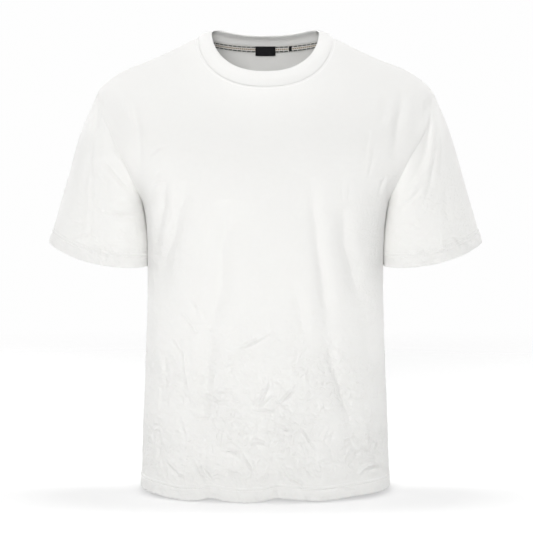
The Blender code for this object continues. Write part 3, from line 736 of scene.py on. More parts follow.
def besideBody(sleeve, front, back, side):  # moves the sleeve's inner side out of the body's cloth, along X
    if side > 0:
        front, back = front[:, ::-1], back[:, ::-1]
    count = underArm["columns"]
    strip = np.concatenate([front[:, count - 1::-1], back[:, :count]], axis=1)
    quads = clothFaces(*strip.shape[:2], False)[0]
    tree = BVHTree.FromPolygons(strip.reshape(-1, 3).tolist(), quads.tolist())
    share = smoothStep(-sleeve[..., 2], *underArm["below"])
    for row, column in np.argwhere(share > 0):
        x, y, z = sleeve[row, column]
        hit = tree.ray_cast((side * 0.5, y, z), (-side, 0, 0))[0]
        if hit is None or side * (x - hit.x) > underArm["reach"]:
            continue
        short = underArm["clear"] - side * (x - hit.x)
        push = (short + math.hypot(short, underArm["soft"])) / 2
        sleeve[row, column, 0] += side * push * share[row, column]


def shapeCloth():
    front = panelGrid(panelGrain["frontColumns"], form["frontArmholeCut"], False)
    back = panelGrid(panelGrain["backColumns"], form["backArmholeCut"], True)
    pieces = {
        "front": {"grid": front, "closed": False, "flip": False, "innerStep": 4},
        "back": {"grid": back, "closed": False, "flip": True, "innerStep": 2},
        "sleeveLeft": {"grid": sleeveGrid(front, back, 1), "closed": True, "flip": False, "innerStep": 2},
        "sleeveRight": {"grid": sleeveGrid(front, back, -1), "closed": True, "flip": True, "innerStep": 2},
    }
    every = list(pieces.values())
    total = sharePoints(every)
    for piece in every:
        piece["cloth"] = clothLengths(piece["grid"])
        piece["cut"] = cutSize(piece)
        piece["normal"] = gridNormals(piece["grid"], piece["closed"])
        if piece["flip"]:
            piece["normal"] = -piece["normal"]
    averaged(every, "normal", total)
    for piece in every:
        piece["normal"] = unit(piece["normal"])
    for name, piece in pieces.items():
        dress = dressPanel if name in ("front", "back") else dressSleeve
        dress(piece, name)
    averaged(every, "push", total)
    for piece in every:
        lowered = deepestNear(piece["push"], piece["innerStep"] - 1) - piece["push"]
        piece["lowered"] = piece["normal"] * lowered[..., None]
        piece["grid"] = piece["grid"] + piece["normal"] * piece["push"][..., None]
        piece["grid"][..., 2] += piece["rise"]
    for name, side in (("sleeveLeft", 1), ("sleeveRight", -1)):
        besideBody(pieces[name]["grid"], pieces["front"]["grid"], pieces["back"]["grid"], side)
    for name, piece in pieces.items():
        turnedHem(piece, name in ("front", "back"))
    return pieces


# Making a mesh from a grid of points

smoothUnder = math.radians(52)  # edges sharper than this stay sharp


def deselectAll():
    if bpy.context.object and bpy.context.object.mode != "OBJECT":
        bpy.ops.object.mode_set(mode="OBJECT")
    bpy.ops.object.select_all(action="DESELECT")


def clothFaces(rows, columns, closed, first=0, inward=False):
    # the quads of a grid of points counted row by row, and the loops of points round its open edges
    points = first + np.arange(rows * columns).reshape(rows, columns)
    wide = np.concatenate([points, points[:, :1]], axis=1) if closed else points
    quads = np.stack([wide[:-1, :-1], wide[:-1, 1:], wide[1:, 1:], wide[1:, :-1]], axis=-1).reshape(-1, 4)
    if closed:
        loops = [points[0], points[-1, ::-1]]
    else:
        loops = [np.concatenate([points[0, :-1], points[:-1, -1], points[-1, :0:-1], points[:0:-1, 0]])]
    return (quads[:, ::-1] if inward else quads), loops


def pointAtCorners(mesh):  # the number of the point at each corner of each face
    corner = np.empty(len(mesh.loops), dtype=np.int32)
    mesh.loops.foreach_get("vertex_index", corner)
    return corner


def clothPiece(name, shape, material):
    # a sheet with a fine outer side and an inner side of every step-th point, joined at its edges
    closed, step = shape["closed"], shape["innerStep"]
    order = slice(None, None, -1) if shape["flip"] else slice(None)
    outer, inner, cloth, crumple = (shape["whole" + key][:, order]
                                    for key in ("Grid", "Inner", "Cloth", "Crumple"))
    keep = slice(None, -1) if closed else slice(None)
    fine, coarse = outer[:, keep], inner[::step, ::step][:, keep]
    faces, edges = clothFaces(*fine.shape[:2], closed)
    innerFaces, innerEdges = clothFaces(*coarse.shape[:2], closed, fine[..., 0].size, True)
    rims = []
    for edge, innerEdge in zip(edges, innerEdges):
        if closed and edge is edges[1]:  # this loop was turned round after its first point was dropped
            edge = np.roll(edge, 1 - step)
        near, far = innerEdge, np.roll(innerEdge, -1)
        along = [np.roll(edge, -k)[::step] for k in range(step + 1)]
        for k in range(step):
            if k == step // 2:
                rims.append(np.stack([along[k], near, far], axis=-1))
            rims.append(np.stack([along[k + 1], along[k], near if k < step // 2 else far], axis=-1))
    quads = np.concatenate([faces, innerFaces])
    mesh = bpy.data.meshes.new(name)
    points = np.concatenate([fine.reshape(-1, 3), coarse.reshape(-1, 3)])
    mesh.from_pydata(points.tolist(), [], quads.tolist() + np.concatenate(rims).tolist())
    coarseCloth = cloth[::step, ::step][:, keep]
    flat = np.concatenate([cloth[:, keep].reshape(-1, 2), coarseCloth.reshape(-1, 2)])[pointAtCorners(mesh)]
    if closed:  # the last column of faces ends where the cloth does, and not where it starts
        width = abs(cloth[0, -1, 0] - cloth[0, 0, 0])
        byFace = flat[:len(quads) * 4].reshape(-1, 4, 2)
        apart = byFace[..., 0].max(axis=1) - byFace[..., 0].min(axis=1) > width / 2
        low = byFace[..., 0] < byFace[..., 0].mean(axis=1, keepdims=True)
        rising = cloth[0, -1, 0] > cloth[0, 0, 0]
        byFace[..., 0] += np.where(apart[:, None] & (low if rising else ~low), width if rising else -width, 0)
    layer = mesh.uv_layers.new(name="cloth")
    layer.uv.foreach_set("vector", flat.reshape(-1).astype(np.float32))
    values = np.concatenate([crumple[:, keep].reshape(-1), crumple[::step, ::step][:, keep].reshape(-1)])
    attribute = mesh.attributes.new("crumple", "FLOAT", "POINT")
    attribute.data.foreach_set("value", values.astype(np.float32))
    mesh.materials.append(material)
    piece = bpy.data.objects.new(name, mesh)
    bpy.context.collection.objects.link(piece)
    deselectAll()
    piece.select_set(True)
    bpy.context.view_layer.objects.active = piece
    bpy.ops.object.shade_smooth_by_angle(angle=smoothUnder)
    return piece


def gridPiece(name, grid, cloth, wall, material):
    # a flat grid of cloth is added and laid on its points, and gets its wall; without one it is joined round
    rows, columns = grid.shape[:2]
    deselectAll()
    bpy.ops.mesh.primitive_grid_add(x_subdivisions=columns - 1, y_subdivisions=rows - 1, size=1)
    piece = bpy.context.object
    piece.name = piece.data.name = name
    mesh = piece.data
    mesh.vertices.foreach_set("co", grid.reshape(-1).astype(np.float32))
    layer = mesh.uv_layers[0]
    layer.name = "cloth"
    layer.uv.foreach_set("vector", cloth.reshape(-1, 2)[pointAtCorners(mesh)].reshape(-1).astype(np.float32))
    mesh.update()
    if wall:
        solidify = piece.modifiers.new("wall", "SOLIDIFY")
        solidify.thickness, solidify.offset = wall, 1
        bpy.ops.object.modifier_apply(modifier=solidify.name)
    else:
        bpy.ops.object.mode_set(mode="EDIT")
        bpy.ops.mesh.select_all(action="SELECT")
        bpy.ops.mesh.remove_doubles(threshold=0.00001)
        bpy.ops.object.mode_set(mode="OBJECT")
    bpy.ops.object.shade_smooth_by_angle(angle=smoothUnder)
    piece.data.materials.append(material)
    return piece


def register(piece, slotName, *nodes):
    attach(piece, "root")
    if nodes:
        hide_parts(*nodes)


# Shader groups that several cloths use

def newGroup(name, inputs, outputs):
    group = bpy.data.node_groups.new(name, "ShaderNodeTree")
    for label, kind, value in inputs:
        socket = group.interface.new_socket(label, in_out="INPUT", socket_type=kind)
        if value is not None:
            socket.default_value = value
    for label, kind in outputs:
        group.interface.new_socket(label, in_out="OUTPUT", socket_type=kind)
    nodes = group.nodes
    return group, nodes.new("NodeGroupInput"), nodes.new("NodeGroupOutput")


def mathNode(tree, operation, *values, clamp=False):
    node = tree.nodes.new("ShaderNodeMath")
    node.operation, node.use_clamp = operation, clamp
    for index, value in enumerate(values):
        if isinstance(value, (int, float)):
            node.inputs[index].default_value = value
        else:
            tree.links.new(value, node.inputs[index])
    return node.outputs[0]


def textureNode(tree, kind, place, **settings):
    node = tree.nodes.new(kind)
    for key, value in settings.items():
        node.inputs[key].default_value = value
    tree.links.new(place, node.inputs["Vector"])
    return node


def buildKnit():
    # stockinette: columns of small Vs, each rounded; Height is 0 in the gaps and 1 on the yarn
    group, inside, outside = newGroup(
        "jerseyKnit",
        [("Vector", "NodeSocketVector", None), ("Wales", "NodeSocketFloat", 1350.0),
         ("Courses", "NodeSocketFloat", 1900.0)],
        [("Height", "NodeSocketFloat")])
    split = group.nodes.new("ShaderNodeSeparateXYZ")
    group.links.new(inside.outputs["Vector"], split.inputs[0])
    across = mathNode(group, "MULTIPLY", split.outputs["X"], inside.outputs["Wales"])
    fromMiddle = mathNode(group, "PINGPONG", across, 0.5)
    leg = mathNode(group, "MULTIPLY", fromMiddle, 2.0)
    up = mathNode(group, "MULTIPLY", split.outputs["Y"], inside.outputs["Courses"])
    slanted = mathNode(group, "ADD", up, mathNode(group, "MULTIPLY", leg, 0.8))
    yarn = mathNode(group, "SINE", mathNode(group, "MULTIPLY", slanted, 2 * math.pi))
    yarn = mathNode(group, "MULTIPLY_ADD", yarn, 0.5, 0.5)
    column = mathNode(group, "SINE", mathNode(group, "MULTIPLY", leg, math.pi))
    height = mathNode(group, "MULTIPLY", mathNode(group, "MULTIPLY_ADD", yarn, 0.6, 0.4), column)
    group.links.new(height, outside.inputs["Height"])
    return group


def buildCottonTone():
    # a little unevenness in whiteness, from clouds of two sizes
    group, inside, outside = newGroup(
        "cottonTone",
        [("Vector", "NodeSocketVector", None), ("Depth", "NodeSocketFloat", 0.02)],
        [("Tone", "NodeSocketFloat")])
    clouds = [textureNode(group, "ShaderNodeTexNoise", inside.outputs["Vector"], Scale=scale, Detail=detail)
              .outputs["Fac"] for scale, detail in ((9.0, 3.0), (160.0, 2.0))]
    mixed = mathNode(group, "MULTIPLY_ADD", clouds[0], 0.6, mathNode(group, "MULTIPLY", clouds[1], 0.4))
    dip = mathNode(group, "MULTIPLY", mixed, inside.outputs["Depth"])
    group.links.new(mathNode(group, "SUBTRACT", 1.0, dip), outside.inputs["Tone"])
    return group


def buildFineCrumple():
    # creases too fine for the mesh, in the places where the cloth is crumpled
    group, inside, outside = newGroup(
        "fineCrumple",
        [("Vector", "NodeSocketVector", None), ("Amount", "NodeSocketFloat", 1.0)],
        [("Height", "NodeSocketFloat")])
    heights = []
    for scale, warp in ((70.0, 0.9), (150.0, 1.4)):
        noise = textureNode(group, "ShaderNodeTexNoise", inside.outputs["Vector"],
                            Scale=scale, Detail=1.5, Distortion=warp)
        centred = mathNode(group, "SUBTRACT", noise.outputs["Fac"], 0.5)
        ridge = mathNode(group, "MULTIPLY", mathNode(group, "ABSOLUTE", centred), 9.0, clamp=True)
        heights.append(mathNode(group, "SUBTRACT", 1.0, ridge))
    both = mathNode(group, "MULTIPLY_ADD", heights[1], 0.45, heights[0])
    scaled = mathNode(group, "MULTIPLY", both, inside.outputs["Amount"])
    group.links.new(scaled, outside.inputs["Height"])
    return group


knitGroup, toneGroup, crumpleGroup = buildKnit(), buildCottonTone(), buildFineCrumple()


class Shader:
    # one material with its Principled shader, and short ways to add and join nodes
    def __init__(self, name, roughness, sheen=0.0):
        self.material = bpy.data.materials.new(name)
        self.material.use_nodes = True
        self.tree = self.material.node_tree
        self.surface = self.tree.nodes["Principled BSDF"]
        self.surface.inputs["Roughness"].default_value = roughness
        self.surface.inputs["Sheen Weight"].default_value = sheen
        self.surface.inputs["Sheen Roughness"].default_value = 0.5
        self.surface.inputs["IOR"].default_value = 1.45
        self.surface.inputs["Specular IOR Level"].default_value = 0.3
        self.surface.inputs["Subsurface Radius"].default_value = (1.0, 1.0, 1.0)

    def add(self, kind, **settings):
        node = self.tree.nodes.new(kind)
        for key, value in settings.items():
            if key in node.inputs:
                node.inputs[key].default_value = value
            else:
                setattr(node, key, value)
        return node

    def place(self, group, **inputs):
        node = self.tree.nodes.new("ShaderNodeGroup")
        node.node_tree = group
        for key, value in inputs.items():
            if isinstance(value, (int, float)):
                node.inputs[key].default_value = value
            else:
                self.tree.links.new(value, node.inputs[key])
        return node

    def join(self, fromSocket, toSocket):
        self.tree.links.new(fromSocket, toSocket)

    def objectPlace(self):
        return self.add("ShaderNodeTexCoord").outputs["Object"]

    def clothPlace(self):  # metres across and up the flat cloth
        return self.add("ShaderNodeUVMap", uv_map="cloth").outputs["UV"]

    def colour(self, colour, place, depth):  # a colour, with a tone that changes a little over the cloth
        tone = self.place(toneGroup, Vector=place, Depth=depth)
        mix = self.add("ShaderNodeMix", data_type="RGBA", blend_type="MULTIPLY")
        mix.inputs[0].default_value = 1.0
        mix.inputs[6].default_value = colour
        self.join(tone.outputs["Tone"], mix.inputs[7])
        self.join(mix.outputs[2], self.surface.inputs["Base Color"])

    def lightThrough(self, weight, reach):
        self.surface.inputs["Subsurface Weight"].default_value = weight
        self.surface.inputs["Subsurface Scale"].default_value = reach

    def bump(self, layers):  # layers of (height, distance), the first one deepest
        previous = None
        for height, distance in layers:
            node = self.add("ShaderNodeBump")
            node.inputs["Distance"].default_value = distance
            self.join(height, node.inputs["Height"])
            if previous:
                self.join(previous, node.inputs["Normal"])
            previous = node.outputs["Normal"]
        self.join(previous, self.surface.inputs["Normal"])


clothLooks = {
    "jersey": (0.870, 0.867, 0.850, 1.0),
    "rib": (0.858, 0.855, 0.840, 1.0),
    "knitDepth": 0.00010,
    "crumpleDepth": 0.00070,
    "roughness": 0.86,
    "sheen": 0.12,
    "jerseyLight": (0.45, 0.0012),  # thin white cotton lets light through: how much, and how far it spreads
    "ribLight": (0.80, 0.0032),     # the open rib lets more through than the jersey
}


def makeJersey():
    shader = Shader("white jersey", clothLooks["roughness"], clothLooks["sheen"])
    shader.lightThrough(*clothLooks["jerseyLight"])
    objectPlace, cloth = shader.objectPlace(), shader.clothPlace()
    shader.colour(clothLooks["jersey"], objectPlace, 0.035)
    amount = shader.add("ShaderNodeAttribute", attribute_name="crumple").outputs["Fac"]
    crumple = shader.place(crumpleGroup, Vector=objectPlace, Amount=amount)
    knit = shader.place(knitGroup, Vector=cloth)
    shader.bump([(crumple.outputs["Height"], clothLooks["crumpleDepth"]),
                 (knit.outputs["Height"], clothLooks["knitDepth"])])
    return shader.material


def makeRibCloth():
    shader = Shader("white rib", clothLooks["roughness"], clothLooks["sheen"])
    shader.lightThrough(*clothLooks["ribLight"])
    objectPlace, cloth = shader.objectPlace(), shader.clothPlace()
    shader.colour(clothLooks["rib"], objectPlace, 0.03)
    knit = shader.place(knitGroup, Vector=cloth, Courses=1500.0)
    shader.bump([(knit.outputs["Height"], clothLooks["knitDepth"])])
    return shader.material


def makeThread(name, colour):
    shader = Shader(name, 0.6)
    objectPlace = shader.objectPlace()
    shader.colour(colour, objectPlace, 0.06)
    ply = textureNode(shader.tree, "ShaderNodeTexNoise", objectPlace, Scale=2600.0, Detail=1.0)
    shader.bump([(ply.outputs["Fac"], 0.00005)])
    return shader.material


jersey, ribCloth = makeJersey(), makeRibCloth()
# the thread is whiter than the cloth, and its colour is set whiter still as a painted highlight: it brightens
# the stitch lines the way the puckered cloth's highlights along them do
whiteThreadAndPaintedHighlight = makeThread("white thread with painted highlight", (0.955, 0.955, 0.945, 1.0))
print("cloth materials made")


# Body and sleeves

cloths = {
    "front": {"name": "frontCloth", "node": "front_panel"},
    "back": {"name": "backCloth", "node": "back_panel"},
    "sleeveLeft": {"name": "sleeveClothLeft", "node": "sleeve_left"},
    "sleeveRight": {"name": "sleeveClothRight", "node": "sleeve_right"},
}

shaped = shapeCloth()
print("cloth shaped on the form")

clothObjects = {}
for key, cloth in cloths.items():
    clothObjects[key] = clothPiece(cloth["name"], shaped[key], jersey)
    register(clothObjects[key], "jersey", cloth["node"])
print("body and sleeves made")


# Stitches

stitches = {  # length, how far from one to the next, thickness, and how far its middle stands off the cloth
    "hem": (0.0029, 0.0034, 0.00095, 0.00036),
    "neckline": (0.0029, 0.0034, 0.00095, 0.00005),
    "tape": (0.0020, 0.0027, 0.00036, 0.00036),
    "label": (0.0013, 0.0019, 0.00030, 0.00036),
}


def stitchShape(length, thickness):  # one stitch lying along X: a small rounded bar
    deselectAll()
    bpy.ops.mesh.primitive_uv_sphere_add(segments=6, ring_count=4, radius=0.5)
    bar = bpy.context.object
    mesh = bar.data
    points = np.array([vertex.co[:] for vertex in mesh.vertices])
    faces = [tuple(face.vertices) for face in mesh.polygons]
    bpy.data.objects.remove(bar)
    points = points[:, [2, 0, 1]]
    points[:, 0] = np.sign(points[:, 0]) * np.abs(points[:, 0] * 2) ** 0.7 / 2
    return points * (length, thickness, thickness), faces


def lineAtHeight(piece, height, fromLast):  # the line of cloth at a height from its first or last row
    rows = slice(None, None, -1) if fromLast else slice(None)
    grid, normal, cloth = (piece[key][rows] for key in ("grid", "normal", "cloth"))
    return lineAcross(grid, normal, np.abs(cloth[..., 1] - cloth[0, :, 1]), height)


def sewAlong(lines, name, material, kind):  # a stitch every so often along each line of points, in one mesh
    length, apart, thickness, proud = stitches[kind]
    base, baseFaces = stitchShape(length, thickness)
    points, faces = [], []
    for line, normals in lines:
        distance = travel(line)
        for start in np.arange(apart / 2, distance[-1] - apart / 2, apart):
            ends = [np.array([np.interp(at, distance, line[:, axis]) for axis in range(3)])
                    for at in (start - length / 2, start + length / 2)]
            out = unit(np.array([np.interp(start, distance, normals[:, axis]) for axis in range(3)]))
            along = unit(ends[1] - ends[0])
            out = unit(out - along * (out @ along))
            side = np.cross(out, along)
            centre = (ends[0] + ends[1]) / 2 + out * proud
            faces += [tuple(index + len(points) * len(base) for index in face) for face in baseFaces]
            points.append(centre + base @ np.array([along, side, out]))
    mesh = bpy.data.meshes.new(name)
    mesh.from_pydata(np.concatenate(points).tolist(), [], faces)
    mesh.materials.append(material)
    mesh.shade_smooth()
    threads = bpy.data.objects.new(name, mesh)
    bpy.context.collection.objects.link(threads)
    return threads


hemStitches = {}
for key, cloth in cloths.items():
    onCuff = key.startswith("sleeve")
    height = hems["height"]["cuff" if onCuff else "body"]
    lines = [lineAtHeight(shaped[key], height - drop, onCuff) for drop in (0, hems["rowsApart"])]
    hemStitches[key] = sewAlong(lines, cloth["name"].replace("Cloth", "HemStitches"), whiteThreadAndPaintedHighlight, "hem")
    register(hemStitches[key], "jersey")
print("hems and cuffs stitched")


# The collar: a doubled band of rib, folded at its free edge

collar = {
    "frontColumns": 1020,     # five to each rib, all round
    "backColumns": 760,
    "ribsAround": 356,
    "ribHeight": 0.00026,
    "wall": 0.0023,           # both layers together
    "rows": 8,
    "turnRows": 5,            # round the fold at its free edge
    "bulge": 0.0009,          # how far it stands out between seam and edge
}


def collarRows():
    rings = np.array([form["body"]["neckline"]] + list(form["collar"].values()))
    knots = np.linspace(0, 1, len(rings))
    rows = []
    for level in np.linspace(0, 1, collar["rows"] + 1):
        ring = curveThrough(knots, rings, level)
        frontRow = evenRow(lambda angle: ringPoint(ring, angle, False), 0.0, collar["frontColumns"])
        backRow = evenRow(lambda angle: ringPoint(ring, angle, True), 0.0, collar["backColumns"])
        rows.append(np.concatenate([frontRow, backRow[::-1][1:]]))
    return np.array(rows)


def makeCollar():
    rows = collarRows()
    normal = gridNormals(rows, True)
    columns = rows.shape[1]
    turn = np.linspace(0, 2 * math.pi * collar["ribsAround"], columns)
    rib = collar["ribHeight"] * np.cos(turn)[:, None]
    share = np.linspace(0, 1, len(rows))[:, None, None]
    outer = rows + normal * (rib + collar["bulge"] * np.sin(math.pi * share) ** 0.8)
    half = collar["wall"] / 2
    away = unit(rows[-1] - rows[-3])
    middle = rows[-1] - normal[-1] * half
    fold = [middle + (half + rib) * (normal[-1] * math.cos(angle) + away * math.sin(angle))
            for angle in np.linspace(0, math.pi, collar["turnRows"] + 2)[1:-1]]
    inner = (rows - normal * (collar["wall"] + rib))[::-1]
    grid = np.concatenate([outer, np.array(fold), inner, outer[:1]])
    lengths = clothLengths(grid)
    lengths[..., 0] = np.linspace(0, travel(rows[collar["rows"] // 2])[-1], columns)
    piece = gridPiece("collarRib", grid, lengths, 0, ribCloth)
    register(piece, "rib", "neckband")
    return piece, rows


collarRib, collarBase = makeCollar()
print("collar made")


# Tape, label and size tab inside the back neck

neckTrim = {
    "tapeWidth": 0.012,
    "tapeShortOfEnds": 0.004,
    "tapeGrain": (150, 8),    # how it is divided, along and down
    "rowsNear": 40,           # rows of the back's cloth that it all lies over
    "belowSeam": 0.0006,
    "tapeWall": 0.0007,
    "tapeLift": 0.0024,       # in from the cloth's outside
    "labelSize": (0.032, 0.0175),
    "labelPlace": (0.000, -0.0004),  # along the tape from its middle, and how far its top is below the tape's
    "labelWall": 0.0006,
    "labelLift": 0.0034,
    "labelGrain": (24, 12),
    "tabSize": (0.0048, 0.0095),
    "tabPlace": (0.0400, 0.0005),
    "puff": 0.0003,           # how much the woven pieces swell between their edges
    "tapeStitchesIn": 0.0011,    # from the tape's edges
    "labelStitchesIn": 0.0012,   # from the label's sides
    "labelStitchesFrom": 0.001,  # from its top and bottom
    "stitchLift": 0.0003,
}


def backNeckLine(below):  # the back's cloth at a distance below its neck seam: points and normals
    grid, normal = shaped["back"]["grid"][::-1], shaped["back"]["normal"][::-1]
    near = neckTrim["rowsNear"]
    line, facing = [], []
    for column in range(grid.shape[1]):
        down = travel(grid[:near, column])
        line.append([np.interp(below, down, grid[:near, column, axis]) for axis in range(3)])
        facing.append([np.interp(below, down, normal[:near, column, axis]) for axis in range(3)])
    return np.array(line), unit(np.array(facing))


def insideNeck(across, down, lift):
    # points inside the back neck, `lift` in from the cloth's outside, and the way that they face
    line, facing = backNeckLine(down)
    along = travel(line)
    at = across + along[-1] / 2
    points, out = (np.stack([np.interp(at, along, rows[:, axis]) for axis in range(3)], axis=-1)
                   for rows in (line, facing))
    return points - unit(out) * lift, -unit(out)


def sewnStrip(name, size, middle, top, lift, wall, grain, material):
    # a strip so wide along the neck and so high, its outer face `lift` in from the cloth
    width, height = size
    distances = np.linspace(middle - width / 2, middle + width / 2, grain[0] + 1)
    downs = np.linspace(top, top + height, grain[1] + 1)
    grid = []
    for down in downs:
        edge = min(1.0, 6 * (down - top) / height, 6 * (top + height - down) / height)
        grid.append(insideNeck(distances, down, lift + neckTrim["puff"] * math.sqrt(max(edge, 0.0)))[0])
    lengths = np.stack(np.meshgrid(distances - middle, top + height - downs), axis=-1)
    return gridPiece(name, np.array(grid)[:, ::-1], lengths[:, ::-1], wall, material)


tapeLooks = {
    "cream": (0.860, 0.845, 0.800, 1.0),
    "tan": (0.400, 0.270, 0.160, 1.0),
    "dark": (0.010, 0.010, 0.012, 1.0),
    "chevron": 0.0034,        # length of one chevron along the tape
    "chevronShare": 0.60,
    "chevronReach": 0.0013,   # up and down from the tape's middle
    "dash": 0.0075,
    "dashShare": 0.86,
    "dashAt": 0.0043,
    "dashHalf": 0.00120,
}


def makeTapeTwill():
    # off-white twill with tan chevrons down its middle and a row of dark dashes along each edge
    shader = Shader("tape twill", 0.7, sheen=0.05)
    cloth = shader.clothPlace()
    split = shader.add("ShaderNodeSeparateXYZ")
    shader.join(cloth, split.inputs[0])
    tree, along = shader.tree, split.outputs["X"]
    fromMiddle = mathNode(tree, "ABSOLUTE", mathNode(tree, "SUBTRACT", split.outputs["Y"],
                                                     neckTrim["tapeWidth"] / 2))
    slanted = mathNode(tree, "DIVIDE", mathNode(tree, "ADD", along, fromMiddle), tapeLooks["chevron"])
    stripe = mathNode(tree, "LESS_THAN", mathNode(tree, "FRACT", slanted), tapeLooks["chevronShare"])
    middle = mathNode(tree, "LESS_THAN", fromMiddle, tapeLooks["chevronReach"])
    tanMask = mathNode(tree, "MULTIPLY", stripe, middle)
    step = mathNode(tree, "FRACT", mathNode(tree, "DIVIDE", along, tapeLooks["dash"]))
    dashes = mathNode(tree, "LESS_THAN", step, tapeLooks["dashShare"])
    band = mathNode(tree, "COMPARE", fromMiddle, tapeLooks["dashAt"], tapeLooks["dashHalf"])
    darkMask = mathNode(tree, "MULTIPLY", dashes, band)
    colour = tapeLooks["cream"]
    for mask, ink in ((tanMask, tapeLooks["tan"]), (darkMask, tapeLooks["dark"])):
        mix = shader.add("ShaderNodeMix", data_type="RGBA")
        shader.join(mask, mix.inputs[0])
        if isinstance(colour, tuple):
            mix.inputs[6].default_value = colour
        else:
            shader.join(colour, mix.inputs[6])
        mix.inputs[7].default_value = ink
        colour = mix.outputs[2]
    shader.join(colour, shader.surface.inputs["Base Color"])
    weave = textureNode(tree, "ShaderNodeTexWave", cloth, Scale=620.0, Distortion=0.4)
    weave.bands_direction = "DIAGONAL"
    shader.bump([(weave.outputs["Fac"], 0.00012)])
    return shader.material


def makeSatin():
    shader = Shader("black satin", 0.42, sheen=0.1)
    objectPlace, cloth = shader.objectPlace(), shader.clothPlace()
    shader.colour((0.014, 0.014, 0.016, 1.0), objectPlace, 0.3)
    weave = textureNode(shader.tree, "ShaderNodeTexWave", cloth, Scale=900.0, Distortion=1.2, Detail=1.0)
    shader.bump([(weave.outputs["Fac"], 0.00006)])
    return shader.material


tapeTwill, satin = makeTapeTwill(), makeSatin()
blackThread = makeThread("black thread", (0.012, 0.012, 0.013, 1.0))


def makeNeckTrim():
    trim = neckTrim
    length = travel(backNeckLine(0.0)[0])[-1] - 2 * trim["tapeShortOfEnds"]
    tape = sewnStrip("neckTapeStrip", (length, trim["tapeWidth"]), 0.0, trim["belowSeam"], trim["tapeLift"],
                     trim["tapeWall"], trim["tapeGrain"], tapeTwill)
    register(tape, "tape", "neck_tape")
    made = [tape]
    for name, node, size, place in (("neckLabelPatch", "neck_label", trim["labelSize"], trim["labelPlace"]),
                                    ("sizeTabPatch", "size_tab", trim["tabSize"], trim["tabPlace"])):
        patch = sewnStrip(name, size, place[0], trim["belowSeam"] + place[1], trim["labelLift"],
                          trim["labelWall"], trim["labelGrain"], satin)
        register(patch, "label", node)
        made.append(patch)
    return made, length


(neckTapeStrip, neckLabelPatch, sizeTabPatch), tapeLength = makeNeckTrim()


def trimStitches():  # along both edges of the tape, and down both short sides of the label
    trim, lines, sides = neckTrim, [], []
    inside, lift = trim["tapeStitchesIn"], trim["tapeLift"] + trim["tapeWall"] + trim["stitchLift"]
    for down in (inside, trim["tapeWidth"] - inside):
        line, facing = backNeckLine(trim["belowSeam"] + down)
        lines.append((line - facing * lift, -facing))
    whites = sewAlong(lines, "tapeStitches", whiteThreadAndPaintedHighlight, "tape")
    register(whites, "tape")
    width, height = trim["labelSize"]
    middle, top = trim["labelPlace"][0], trim["belowSeam"] + trim["labelPlace"][1]
    lift = trim["labelLift"] + trim["labelWall"] + trim["stitchLift"]
    edge = width / 2 - trim["labelStitchesIn"]
    first = trim["labelStitchesFrom"]
    for across in (middle - edge, middle + edge):
        side = [insideNeck(across, top + down, lift) for down in np.linspace(first, height - first, 12)]
        sides.append(tuple(np.array(part) for part in zip(*side)))
    blacks = sewAlong(sides, "labelStitches", blackThread, "label")
    register(blacks, "label")
    return whites, blacks


tapeStitches, labelStitches = trimStitches()
print("neck tape, label and size tab made")


# Stitches round the neckline, just below the collar

belowCollar = 0.0042
neckLines = [lineAtHeight(shaped[key], belowCollar, True) for key in ("front", "back")]
neckStitches = sewAlong(neckLines, "necklineStitches", whiteThreadAndPaintedHighlight, "neckline")
register(neckStitches, "jersey")


# What each piece of cloth was cut to

def clothArea(grid):
    a, b, c = grid[:-1, :-1], grid[1:, :-1], grid[:-1, 1:]
    return float(np.linalg.norm(np.cross(b - a, c - a), axis=-1).sum())


def declareSheets():
    for key in cloths:
        piece = shaped[key]
        across = float(piece["cut"][0])
        up = float(piece["cut"][1]) + hems["height"]["body"] + hems["turnedIn"]
        area = min(clothArea(piece["wholeGrid"]), across * up)
        print("cut", key, round(across, 3), round(up, 3), round(area, 4))
    around = float(travel(collarBase[collar["rows"] // 2])[-1])
    height = float(travel(collarBase[:, 0])[-1])
    print("cut collar", round(around, 3), round(height, 4))


declareSheets()


# Floor, light and camera

studio = {
    "floorZ": -0.7045,
    "floorRadius": 3.2,
    "floorFade": (1.2, 3.0),  # from here to here outwards the floor fades into the white behind it
    "floorGlow": 0.470,       # only for the camera, as a backlit floor sheet
    "floorSeen": (0.56, 0.56, 0.56, 1.0),
    "floorBounce": (0.85, 0.85, 0.85, 1.0),
    "worldSeen": 0.990,
    "worldLight": 0.27,
    "neckLight": ((0, -2.6, 0.12), (0, 0.10, -0.010), 3.1, 105.0),  # place, target, cone in degrees, power
    "lightsAimAt": (0.0, 0.0, -0.33),
    "camera": (0.0017, -2.8, -0.2209),
    "cameraDown": math.radians(2.785),
    "lens": 36.0 * 1797.5 / 533,
}

studioLights = {  # where each stands round the shirt (left is under 0), how high, how far, size and power
    "front": (-6, 12, 3.0, (1.2, 0.8), 49.0),
    "highFront": (0, 45, 2.6, (1.2, 0.8), 6.0),
    "highBehind": (180, 81, 2.6, (1.1, 0.45), 26.5),
    "sideLeft": (-105, 12, 2.6, (1.2, 1.2), 17.0),
    "sideRight": (105, 12, 2.6, (1.2, 1.2), 23.0),
    "behindLeft": (-140, 15, 2.8, (1.6, 1.4), 21.0),
    "behindRight": (140, 15, 2.8, (1.6, 1.4), 13.0),
}


